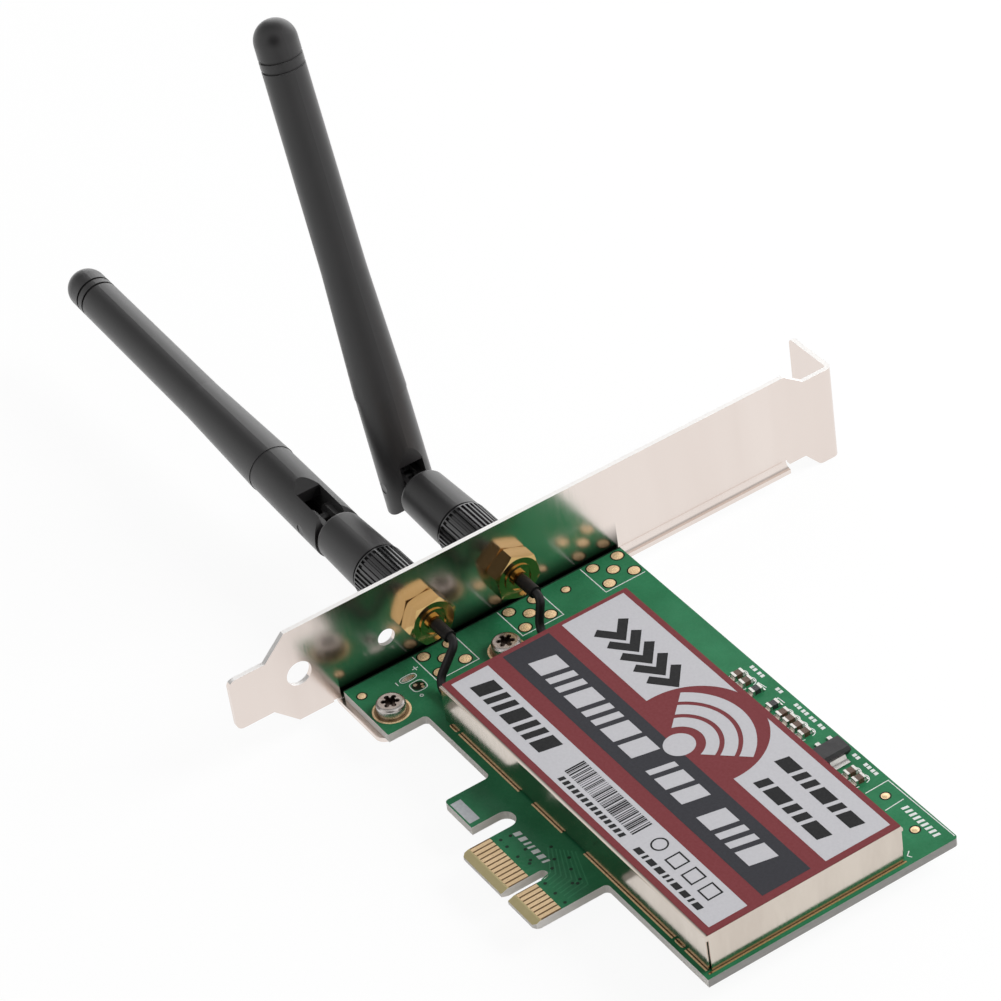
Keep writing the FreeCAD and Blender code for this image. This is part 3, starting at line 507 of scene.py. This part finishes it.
def nickelFinish(look):
    material = finish("bracketNickel", look)
    tree = material.node_tree
    base = tree.nodes["Principled BSDF"]
    rough = base.inputs["Roughness"].links[0].from_socket
    tint = base.inputs["Base Color"].links[0].from_socket
    x, y, z = axes(tree)
    towards = facing(tree)
    onPlate = calc(tree, "LESS_THAN", x, (look["plateIn"] + look["plateLap"]) * mm)
    upright = calc(tree, "GREATER_THAN", calc(tree, "ABSOLUTE", towards[2]), look["edgeFrom"])
    edge = calc(tree, "MULTIPLY", onPlate, upright)
    tree.links.new(between(tree, edge, rough, look["edgeRough"]), base.inputs["Roughness"])
    tree.links.new(between(tree, edge, look["metal"], look["edgeMetal"]), base.inputs["Metallic"])
    tint = mixed(tree, edge, tint, rgb(look["edgeTint"]))
    # painted shade: a contact shadow on the plate's inner face, fading upwards from the board
    foot = spread(tree, z, boardHigh[2] * mm, (boardHigh[2] + look["dimTo"]) * mm, look["dimShare"], 0.0)
    foot.node.interpolation_type = "SMOOTHSTEP"
    inside = calc(tree, "GREATER_THAN", towards[0], look["inFrom"])
    inside = calc(tree, "MULTIPLY", inside, calc(tree, "GREATER_THAN", z, 0.0))
    middle, half = (boardHigh[1] + look["boardFrom"]) / 2, (boardHigh[1] - look["boardFrom"]) / 2
    inside = calc(tree, "MULTIPLY", inside, near(tree, y, middle, half))
    tint = mixed(tree, calc(tree, "MULTIPLY", foot, inside), tint, rgb(look["dim"]))
    tree.links.new(tint, base.inputs["Base Color"])
    return material


dress(nickelFinish(nickelSet), "bracket")

# screws: bright heads with a dark drive recess, and painted shade on the side turned to the bracket
screwTop = boxOf("bracket_screws")[1][2]
steelSet = {"tints": ((0.42, 0.385, 0.36), (0.62, 0.585, 0.56)), "cloud": 1.0, "grain": 0.2,
            "rough": (0.22, 0.36), "depth": 0.0025,
            "drive": 1.75, "deep": 0.3, "recess": (0.12, 0.095, 0.085),
            "shadeSpan": (-0.45, -0.15), "shade": (0.11, 0.08, 0.06)}


def steelFinish(look):
    material, tree, base = startMaterial("screwSteel", {"Metallic": 1.0})
    x, y, z = axes(tree)
    steel = clouded(tree, grain(tree, look["cloud"]), look["tints"])
    # painted shade on the side of each head turned to the bracket
    turned = spread(tree, facing(tree)[0], *look["shadeSpan"], 1.0, 0.0)
    steel = mixed(tree, turned, steel, rgb(look["shade"]))
    deep = calc(tree, "LESS_THAN", z, (screwTop - look["deep"]) * mm)
    recess = calc(tree, "MULTIPLY", nearScrews(tree, x, y, look["drive"]), deep)
    tree.links.new(mixed(tree, recess, steel, rgb(look["recess"])), base.inputs["Base Color"])
    fine = grain(tree, look["grain"])
    roughFrom(tree, base, fine, look["rough"])
    bumpFrom(tree, base, fine, look["depth"])
    return material


dress(steelFinish(steelSet), "bracket_screws", "module_screws")

# shield can: bright tin
tinSet = {"tints": ((0.60, 0.53, 0.465), (0.66, 0.59, 0.52)), "metal": 1.0, "cloud": 6.0,
          "grain": 0.4, "stretch": (1, 1, 5), "rough": (0.14, 0.24), "depth": 0.002}
dress(finish("canTin", tinSet), "shield_can", "module_crystal")

# jacks, plugs and the conductors inside the antennas: gold plate
goldSet = {"tints": ((0.53, 0.36, 0.145), (0.63, 0.44, 0.20)), "metal": 1.0, "cloud": 2.0,
           "grain": 0.1, "stretch": (1, 10, 10), "rough": (0.10, 0.17), "depth": 0.002}
goldNames = ("jack_body", "jack_pin", "lock_washer", "jack_nut", "crimp_ferrule", "micro_plug",
             "plug_body", "plug_contact", "radiator_sleeve", "radiator_wire")
dress(finish("jackGold", goldSet), *[n for name in goldNames for n in pair(name)])
insulatorSet = {"tints": ((0.74, 0.73, 0.69), (0.82, 0.81, 0.78)), "cloud": 2.0, "grain": 0.2,
                "rough": (0.4, 0.5), "depth": 0.003}
dress(finish("insulatorWhite", insulatorSet), *pair("jack_insulator"), *pair("plug_insulator"))

# antennas: satin moulded black, and a nut plated black
plasticSet = {"tints": ((0.0095, 0.0088, 0.0092), (0.012, 0.011, 0.0115)), "cloud": 8.0, "grain": 0.16,
              "rough": (0.38, 0.48), "depth": 0.002, "ior": 1.4,
              "sockets": {"Sheen Weight": 0.3, "Sheen Roughness": 0.35, "Coat Weight": 0.5,
                          "Coat Roughness": 0.36}}
plastic = finish("antennaPlastic", plasticSet)
dress(plastic, *pair("knuckle"), *pair("blade_fork"), *pair("blade_tube"), *pair("hinge_pin"))
nutSet = {"tints": ((0.016, 0.016, 0.017), (0.024, 0.024, 0.025)), "cloud": 2.0, "grain": 0.15,
          "rough": (0.14, 0.22), "depth": 0.002, "ior": 1.9}
nutBlack = finish("nutBlack", nutSet)
dress(nutBlack, *pair("coupling_nut"))

# leads and sleeves
jacketSet = {"tints": ((0.005, 0.005, 0.0055), (0.009, 0.0085, 0.0085)), "cloud": 2.5, "grain": 0.3,
             "rough": (0.36, 0.5), "depth": 0.008, "ior": 1.4}
jacket = finish("cableJacket", jacketSet)
dress(jacket, *pair("pigtail_cable"), *pair("antenna_coax"))
shrinkSet = {"tints": ((0.005, 0.0048, 0.0048), (0.009, 0.0085, 0.0085)), "cloud": 1.5, "grain": 0.5,
             "rough": (0.42, 0.6), "depth": 0.02, "ior": 1.35}
dress(finish("shrinkSleeve", shrinkSet), *pair("heat_shrink"))

# chips: tinned ends on a ceramic or dark body, told apart by their place across the row
rowLow, rowHigh = boxOf("chip_capacitors")
chipSet = {"endLength": 0.45, "grain": 0.25, "rough": (0.22, 0.36), "depth": 0.02,
           "tin": ((0.55, 0.53, 0.5), (0.75, 0.73, 0.7)),
           "brown": ((0.075, 0.04, 0.024), (0.12, 0.065, 0.038)),
           "dark": ((0.012, 0.012, 0.013), (0.03, 0.03, 0.032))}


def chipFinish(name, body, look):
    material, tree, base = startMaterial(name, {})
    middle = (rowLow[1] + rowHigh[1]) / 2
    half = (rowHigh[1] - rowLow[1]) / 2 - look["endLength"]
    onBody = near(tree, axes(tree)[1], middle, half)
    speckle = grain(tree, look["grain"])
    tint = mixed(tree, onBody, blend(tree, speckle, look["tin"]), blend(tree, speckle, body))
    tree.links.new(tint, base.inputs["Base Color"])
    tree.links.new(calc(tree, "SUBTRACT", 1.0, onBody), base.inputs["Metallic"])
    roughFrom(tree, base, speckle, look["rough"])
    bumpFrom(tree, base, speckle, look["depth"])
    return material


dress(chipFinish("capacitorCeramic", chipSet["brown"], chipSet), "chip_capacitors")
dress(chipFinish("resistorBody", chipSet["dark"], chipSet), "chip_resistors")
epoxySet = {"tints": ((0.022, 0.021, 0.023), (0.034, 0.033, 0.035)), "cloud": 1.5, "grain": 0.12,
            "rough": (0.45, 0.6), "depth": 0.012}
dress(finish("moldedEpoxy", epoxySet), "regulator_body", "radio_chip", "module_socket")
leadSet = {"tints": ((0.52, 0.50, 0.48), (0.68, 0.66, 0.64)), "metal": 1.0, "cloud": 0.8, "grain": 0.2,
           "rough": (0.24, 0.36), "depth": 0.003}
solder = finish("tinnedLead", leadSet)
dress(solder, "regulator_leads")
moduleSet = {"tints": ((0.008, 0.06, 0.04), (0.012, 0.08, 0.05)), "cloud": 6.0, "grain": 0.8,
             "rough": (0.25, 0.35), "depth": 0.004}
dress(finish("moduleMask", moduleSet), "module_board")
print("finishes:", len(bpy.data.materials), "materials")


def frameLines(x0, x1, y0, y1, width):
    # a box outline: four strips inside the given edges
    low, high = y0 + width, y1 - width
    return [rectangle(x0, x1, y0, low), rectangle(x0, x1, high, y1),
            rectangle(x0, x0 + width, low, high), rectangle(x1 - width, x1, low, high)]


def blockRow(row):
    # leaning blocks side by side, their widths shares of the run that the gaps leave
    x0, x1 = row["x"]
    widths = np.array(row["widths"], float)
    widths *= (x1 - x0 - row["gap"] * (len(widths) - 1)) / widths.sum()
    starts = x0 + np.concatenate([[0.0], np.cumsum(widths + row["gap"])[:-1]])
    return [rectangle(a, a + w, *row["y"], row["lean"]) for a, w in zip(starts, widths)]


def arrowRow(row):
    # open arrowheads one behind another, each a bent ribbon that points along x
    low, high = row["y"]
    tips = np.linspace(*row["x"], row["count"])
    back = tips - row["reach"]
    return [ribbon(((b, low), (t, (low + high) / 2), (b, high)), row["width"]) for b, t in zip(back, tips)]


# label on the can: plain fields of colour, rows of blocks, arrowheads and stripes
labelLow, labelHigh = boxOf("can_label")
labelSet = {
    "field": 0.012,  # mm that each field stands over the film
    "mark": 0.022,  # and each mark on a field
    "edge": 0.12, "lap": 0.1,  # mm of bare can left beyond the film, and mm of film under the edge strip
    "panelLeft": -39.05, "panelRight": 32.2, "lowerInset": 0.25, "panelRows": 25,
    "upper": (37.9, 50.0), "band": (26.3, 35.25), "bandEnds": (-38.9, 32.0), "lower": (16.35, 23.4),
    "cut": (-3.25, 38.9, 11.8),  # circle that trims the upper panels: x, y, radius
    "dot": (-3.3, 36.0, 2.6),
    "fanFrom": (-3.28, 33.3),
    "arcs": ((4.15, 6.25), (7.05, 9.2), (9.95, 12.1)), "fan": (45.0, 135.0),
    "red": ((0.166, 0.027, 0.031), (0.184, 0.033, 0.039)),
    "grey": ((0.50, 0.495, 0.52), (0.53, 0.525, 0.55)),
    "charcoal": ((0.026, 0.026, 0.032), (0.031, 0.031, 0.038)),
    "black": ((0.008, 0.008, 0.009), (0.014, 0.014, 0.015)),
}
arrowSet = {"x": (-30.4, -15.6), "y": (40.9, 46.4), "count": 5, "reach": 3.4, "width": 1.7}
blackRows = (
    {"x": (9.4, 28.9), "y": (44.9, 47.4), "widths": (5, 2, 2, 5, 2, 5), "gap": 0.8, "lean": 0.6},
    {"x": (11.2, 27.7), "y": (39.6, 42.1), "widths": (2, 5, 2, 2, 5), "gap": 0.8, "lean": 0.6},
    {"x": (-36.2, -16.2), "y": (18.2, 22.2), "widths": (4, 2, 2, 4, 2, 2, 4), "gap": 0.9, "lean": 0.9},
    {"x": (-9.4, 7.8), "y": (17.1, 18.2), "widths": [1] * 14, "gap": 0.45, "lean": 0.2},
    {"x": (11.2, 28.2), "y": (17.1, 18.2), "widths": (3, 1, 3, 3, 1, 1, 3, 3, 1, 3),
     "gap": 0.55, "lean": 0.2},
)
paleRows = (
    {"x": (-34.8, -5.6), "y": (28.5, 33.2), "widths": (5, 2, 2, 5, 2, 2, 5, 5), "gap": 1.1, "lean": 1.1},
    {"x": (-1.8, 8.0), "y": (28.5, 33.2), "widths": (2, 5, 5), "gap": 1.1, "lean": 1.1},
    {"x": (11.8, 25.6), "y": (28.5, 33.2), "widths": (5, 2, 2, 5), "gap": 1.1, "lean": 1.1},
)
stripeSet = {"x": (-10.1, 8.6), "y": (18.9, 22.6), "count": 46, "seed": 5,
             "bars": (0.12, 0.22, 0.36), "fill": 0.52}
badgeSet = {"y": 20.9, "size": 1.45, "line": 0.3, "ring": 12.95, "squares": (17.6, 21.9, 26.2)}
inkSet = {"cloud": 0.5, "grain": 0.3, "rough": (0.42, 0.54), "depth": 0.002, "ior": 1.28}


def inkFinish(name, tints):
    return finish(name, {"tints": tints, **inkSet})


redFilm = inkFinish("labelRed", labelSet["red"])
greyInk = inkFinish("labelGrey", labelSet["grey"])
charcoalInk = inkFinish("labelCharcoal", labelSet["charcoal"])
blackInk = inkFinish("labelBlack", labelSet["black"])
dress(redFilm, "can_label")


def trimmedPanel(look, outer, leftOfCut):
    # rows of constant y from the outer side to the circle, where the circle reaches in
    cx, cy, radius = look["cut"]
    y = np.linspace(*look["upper"], look["panelRows"])
    reach = np.sqrt(np.maximum(radius ** 2 - (y - cy) ** 2, 0.0))
    if leftOfCut:
        ends = [np.full_like(y, outer), cx - reach]
    else:
        ends = [cx + reach, np.full_like(y, outer)]
    return np.stack(ends, -1), np.repeat(y[:, None], 2, axis=1)


def stripes(look):
    # bars of three widths in a fixed random order, spaced so that they fill their share of the run
    pick = np.random.default_rng(look["seed"])
    widths = pick.choice(look["bars"], look["count"])
    gaps = pick.choice(look["bars"], look["count"])
    x0, x1 = look["x"]
    widths *= look["fill"] * (x1 - x0) / widths.sum()
    gaps *= (1 - look["fill"]) * (x1 - x0) / gaps[:-1].sum()
    starts = x0 + np.concatenate([[0.0], np.cumsum(widths + gaps)[:-1]])
    return [rectangle(a, a + w, *look["y"]) for a, w in zip(starts, widths)]


def wedgeArc(apex, x, y, inner, outer, fan, steps=33):
    # an arc about x, y that ends on two straight lines fanning out from apex: on each circle, the
    # angle runs between the points where the lines cross it
    ends = []
    for radius in (outer, inner):
        for lean in np.radians(fan):
            dx, dy = np.cos(lean), np.sin(lean)
            ox, oy = apex[0] - x, apex[1] - y
            along = -(ox * dx + oy * dy)
            far = along + np.sqrt(along ** 2 - (ox ** 2 + oy ** 2 - radius ** 2))
            ends.append(np.arctan2(oy + far * dy, ox + far * dx))
    share = np.linspace(1, 0, steps)
    angle = np.stack([ends[0] + (ends[1] - ends[0]) * share, ends[2] + (ends[3] - ends[2]) * share])
    radius = np.array([[outer], [inner]])
    return x + radius * np.cos(angle), y + radius * np.sin(angle)


def printOn(name, shapes, ink, base, rise, wrap=False):
    # flat shapes that stand rise over the face at base and reach as far into it
    made = [slab(x, y, base - rise, base + rise, wrap) for x, y in shapes]
    makePiece(name, made, ink, "card")


def makeLabel(look):
    film = labelHigh[2]
    field, mark = look["field"], look["mark"]
    panels = [trimmedPanel(look, look["panelLeft"], True), trimmedPanel(look, look["panelRight"], False)]
    panels.append(rectangle(look["panelLeft"] + look["lowerInset"], look["panelRight"], *look["lower"]))
    printOn("label_panels", panels, greyInk, film, field)
    edge = rectangle(labelHigh[0] - look["lap"], canHigh[0] - look["edge"], labelLow[1], labelHigh[1])
    printOn("label_edge", [edge], redFilm, film, field / 2)
    band = rectangle(*look["bandEnds"], *look["band"])
    printOn("label_band", [band], charcoalInk, film, field)
    x, y, radius = look["dot"]
    motif = [disc(x, y, radius)]
    motif += [wedgeArc(look["fanFrom"], x, y, inner, outer, look["fan"]) for inner, outer in look["arcs"]]
    motif += [block for row in paleRows for block in blockRow(row)]
    printOn("label_motif", motif, greyInk, film, mark)
    dark = [block for row in blackRows for block in blockRow(row)] + arrowRow(arrowSet) + stripes(stripeSet)
    half = badgeSet["size"]
    for middle in badgeSet["squares"]:
        y0, y1 = badgeSet["y"] - half, badgeSet["y"] + half
        dark += frameLines(middle - half, middle + half, y0, y1, badgeSet["line"])
    printOn("label_marks", dark, blackInk, film, mark)
    badge = [ring(badgeSet["ring"], badgeSet["y"], half - badgeSet["line"], half)]
    printOn("label_badge", badge, blackInk, film, mark, wrap=True)


makeLabel(labelSet)
print("label: fields, blocks and stripes laid")

# board print: white lines, small marks, rows of blocks and a grey bar
boardTop = boardHigh[2]
silkSet = {
    "tints": ((0.62, 0.65, 0.63), (0.74, 0.76, 0.75)), "line": 0.17, "rise": 0.012,
    "footprintX": (-56.3, -48.6), "footprintY": ((18.85, 27.0), (35.6, 43.7)),
    "paths": (
        ((-56.3, 52.2), (-48.6, 52.2), (-48.6, 60.1)),  # two sides of the footprint at the corner
        ((17.83, 55.6), (17.76, 60.05), (34.2, 60.25)),  # corner round the far pads
        ((22.88, 55.6), (22.66, 59.3)),
        ((-13.0, 55.2), (-13.9, 58.1), (-12.1, 58.4)),  # brackets at the dark chips
        ((-8.5, 57.2), (-8.9, 58.35), (-7.2, 58.45)),
        ((32.3, 52.95), (33.0, 52.1), (33.65, 52.5)),  # tick by the can's corner
    ),
    "plus": ((-53.6, 17.7), 0.55), "minus": ((-52.25, 13.3), 0.5), "point": ((-47.3, 15.0), 0.35),
    "tagY": 59.2, "tagX": (-17.3, -15.3, -10.3, -5.3, -3.4, -1.3, 1.0, 10.1, 13.0, 14.8),
    "tag": (0.62, 0.7, 0.22),  # width of a block, its height and the gap between a pair
    "cupX": (-17.2, -15.0, -5.0, -3.1, -1.1, 0.9, 12.9, 15.0), "cupY": 56.5, "cup": (1.0, 0.7, 1.75),
    "nameRow": {"x": (24.0, 32.4), "y": (57.7, 58.9), "widths": [1] * 9, "gap": 0.45, "lean": 0.2},
    "tongueRow": {"x": (-10.6, -2.0), "y": (8.5, 9.7), "widths": (2, 2, 1, 1, 2, 2, 1),
                  "gap": 0.6, "lean": 0.25},
    "ovals": ((-52.3, 15.5, 0.72, 1.5, 2.6), (-49.65, 15.85, 1.25, 1.3, 3.4)),  # middle, half sizes, power
}
barSet = {"tints": ((0.44, 0.46, 0.48), (0.52, 0.54, 0.56)), "x": (-22.5, -16.85), "y": (4.58, 6.5)}


def cupPath(x, y, half, inner, outer, side, steps=9):
    # a bracket at one end of a chip: half an ellipse that bows away from it
    angle = np.linspace(0, np.pi, steps)
    bow = y + side * (inner + (outer - inner) * np.sin(angle))
    return np.stack([x + half * np.cos(angle), bow], -1)


def ovalPath(x, y, halfX, halfY, power, steps=41):
    # a closed superellipse: power 2 is round, more is boxier
    angle = np.linspace(0, 2 * np.pi, steps)
    c, t = np.cos(angle), np.sin(angle)
    bend = 2 / power
    across = x + halfX * np.sign(c) * np.abs(c) ** bend
    along = y + halfY * np.sign(t) * np.abs(t) ** bend
    return np.stack([across, along], -1)


def centred(x, y, halfX, halfY):
    return rectangle(x - halfX, x + halfX, y - halfY, y + halfY)


def makeSilk(look):
    line, rise = look["line"], look["rise"]
    x0, x1 = look["footprintX"]
    shapes = [ribbon(((x0, y0), (x1, y0), (x1, y1), (x0, y1)), line) for y0, y1 in look["footprintY"]]
    shapes += [ribbon(path, line) for path in look["paths"]]
    for x in look["cupX"]:
        shapes += [ribbon(cupPath(x, look["cupY"], *look["cup"], side), line) for side in (1, -1)]
    (x, y), arm = look["plus"]
    shapes += [centred(x, y, arm, line / 2), centred(x, y, line / 2, arm)]
    (x, y), arm = look["minus"]
    shapes.append(centred(x, y, arm, line / 2))
    width, height, gap = look["tag"]
    for x in look["tagX"]:
        for end in (x, x + (width + gap)):
            shapes.append(rectangle(end - width, end, look["tagY"], look["tagY"] + height))
    shapes += blockRow(look["nameRow"]) + blockRow(look["tongueRow"])
    shapes += [ribbon(ovalPath(*oval), line) for oval in look["ovals"]]
    ink = inkFinish("silkWhite", look["tints"])
    printOn("board_silk", shapes, ink, boardTop, rise)
    (x, y), radius = look["point"]
    point = ring(x, y, radius - line, radius)
    printOn("board_point", [point], ink, boardTop, rise, wrap=True)
    bar = rectangle(*barSet["x"], *barSet["y"])
    printOn("keeper_bar", [bar], inkFinish("silkGrey", barSet["tints"]), boardTop, rise)


makeSilk(silkSet)

# pads: a ring round each hole, a solder dome in it and a dark edge of mask outside
padRingSet = {"row": (-52.6, (22.8, 39.6, 56.4)), "half": 2.5, "radius": 0.85, "reach": 0.16, "rise": 0.022,
              "single": ((-53.6, 7.4), (-53.6, 47.5), (29.2, 56.5), (20.3, 57.6)), "singleRadius": 0.55,
              "lap": 0.02,  # mm that each ring reaches into its hole
              "dome": 0.10}  # mm of solder over the middle of each hole
haloSet = {"tints": ((0.003, 0.005, 0.002), (0.006, 0.009, 0.004)), "width": 0.25, "rise": 0.006}
maskEdge = inkFinish("maskEdge", haloSet["tints"])


def padPlaces(look):
    # middles of the coaxial footprints and their corners, then the single holes, each with its radius
    x, rows = look["row"]
    half = look["half"]
    steps = [(0, 0)] + [(dx, dy) for dx in (-half, half) for dy in (-half, half)]
    places = [(x + dx, y + dy, look["radius"]) for y in rows for dx, dy in steps]
    return places + [(x, y, look["singleRadius"]) for x, y in look["single"]]


def makePads(look):
    places = padPlaces(look)
    rise, reach = look["rise"], look["reach"]
    rings = [ring(x, y, r - look["lap"], r + reach) for x, y, r in places]
    printOn("pad_rings", rings, padGold, boardTop, rise, wrap=True)
    domes = []
    for x, y, r in places:
        across, along = disc(x, y, r)
        bulge = 1 - ((across - x) ** 2 + (along - y) ** 2) / r ** 2  # 1 at the middle, 0 at the rim
        domes.append(slab(across, along, boardTop - rise, boardTop + rise + look["dome"] * bulge))
    makePiece("pad_domes", domes, padGold, "card", smooth=True)
    halos = [ring(x, y, r + reach, r + reach + haloSet["width"]) for x, y, r in places]
    printOn("pad_halos", halos, maskEdge, boardTop, haloSet["rise"], wrap=True)


makePads(padRingSet)

# vias under the mask: small dark discs
viaSet = {
    "tints": ((0.003, 0.020, 0.009), (0.006, 0.030, 0.014)), "radius": 0.3, "rise": 0.008,
    "places": ((-10.6, 6.3), (-8.7, 6.25), (-10.4, 8.0), (-5.75, 6.3), (-6.35, 8.1), (-3.85, 7.4),
               (-4.6, 8.8), (-3.3, 6.9), (-4.2, 11.5), (-0.15, 8.95), (-1.6, 10.35), (-0.4, 12.3),
               (1.9, 11.1), (4.6, 10.95), (4.6, 9.55), (5.15, 10.15), (1.9, 6.3), (4.7, 6.3), (7.3, 6.35)),
}
dimple = inkFinish("maskDimple", viaSet["tints"])
tented = [disc(x, y, viaSet["radius"], dotSteps) for x, y in viaSet["places"]]
printOn("covered_vias", tented, dimple, boardTop, viaSet["rise"])

# traces: slanting runs side by side, each turning down towards the contacts
traceSet = {"tints": ((0.034, 0.215, 0.098), (0.042, 0.25, 0.115)), "width": 0.22,
            "rise": 0.005, "count": 8,
            "start": ((-4.4, 11.0), (0.5, 0.4)), "knee": ((0.4, 8.3), (0.85, 0.42)),  # first point, step
            "drop": ((0.5, -2.0), (0.0, -0.3))}  # from knee to end


def stepped(run, count):
    # points in a row: the first, then each one step further
    first, step = np.array(run)
    return first + step * np.arange(count)[:, None]


def makeTraces(look):
    start, knee, drop = [stepped(look[key], look["count"]) for key in ("start", "knee", "drop")]
    runs = [ribbon(path, look["width"]) for path in np.stack([start, knee, knee + drop], 1)]
    ink = inkFinish("maskTrace", look["tints"])
    printOn("board_traces", runs, ink, boardTop, look["rise"])


makeTraces(traceSet)

# lamp's footprint: a tinned oval, and a dark field with three tinned dots
lampPadSet = {"tin": (-52.3, 15.5, 0.5, 1.25), "dark": (-49.65, 15.85, 1.05, 1.1),  # middles and half sizes
              "dots": ((-50.1, 15.5, 0.34), (-48.95, 16.3, 0.3), (-49.6, 16.5, 0.26)),
              "rise": 0.009, "tinOver": 0.004}  # mm that the tin stands over the field


def stretchedDisc(x, y, halfX, halfY):
    # a round grid stretched to its two half sizes
    across, along = disc(0.0, 0.0, 1.0)
    return x + halfX * across, y + halfY * along


def makeLampPads(look):
    rise = look["rise"]
    tinned = [stretchedDisc(*look["tin"])] + [disc(*dot, dotSteps) for dot in look["dots"]]
    printOn("lamp_pads", tinned, solder, boardTop, rise + look["tinOver"])
    printOn("lamp_field", [stretchedDisc(*look["dark"])], maskEdge, boardTop, rise)


makeLampPads(lampPadSet)
print("board print: lines, pads, vias and traces laid")

# solder at the ends of the chips: a hollow slope from the end cap down to the board
filletSet = {"x": (-17.2, -15.0, -12.3, -7.6, -5.0, -3.1, -1.1, 0.9, 12.9, 15.0), "y": 56.5, "end": 1.0,
             "half": 0.68, "reach": 0.55, "height": 0.62, "cols": 7, "rows": 9,
             "hollow": 2.2, "shoulder": 0.25, "taper": 0.12,  # power of the slope, side shares
             "lap": 0.02, "sink": 0.01, "over": 0.03}  # mm into the cap, into the board and over it


def makeFillets(look):
    # u runs across the chip's end and v away from it; the height falls as 1 - v to a power, less at both
    # sides by the fourth power of u, and the width narrows evenly with v
    u, v = np.meshgrid(np.linspace(-1, 1, look["cols"]), np.linspace(0, 1, look["rows"]))
    slope = look["height"] * (1 - v) ** look["hollow"] * (1 - look["shoulder"] * u ** 4)
    shapes = []
    for x in look["x"]:
        for side in (1, -1):
            across = x + look["half"] * u * (1 - look["taper"] * v)
            along = look["y"] + side * (look["end"] - look["lap"] + look["reach"] * v)
            shapes.append(slab(across, along, boardTop - look["sink"], boardTop + look["over"] + slope))
    makePiece("chip_solder", shapes, solder, "card", smooth=True)


makeFillets(filletSet)
print("solder: fillets at", len(filletSet["x"]), "chips")
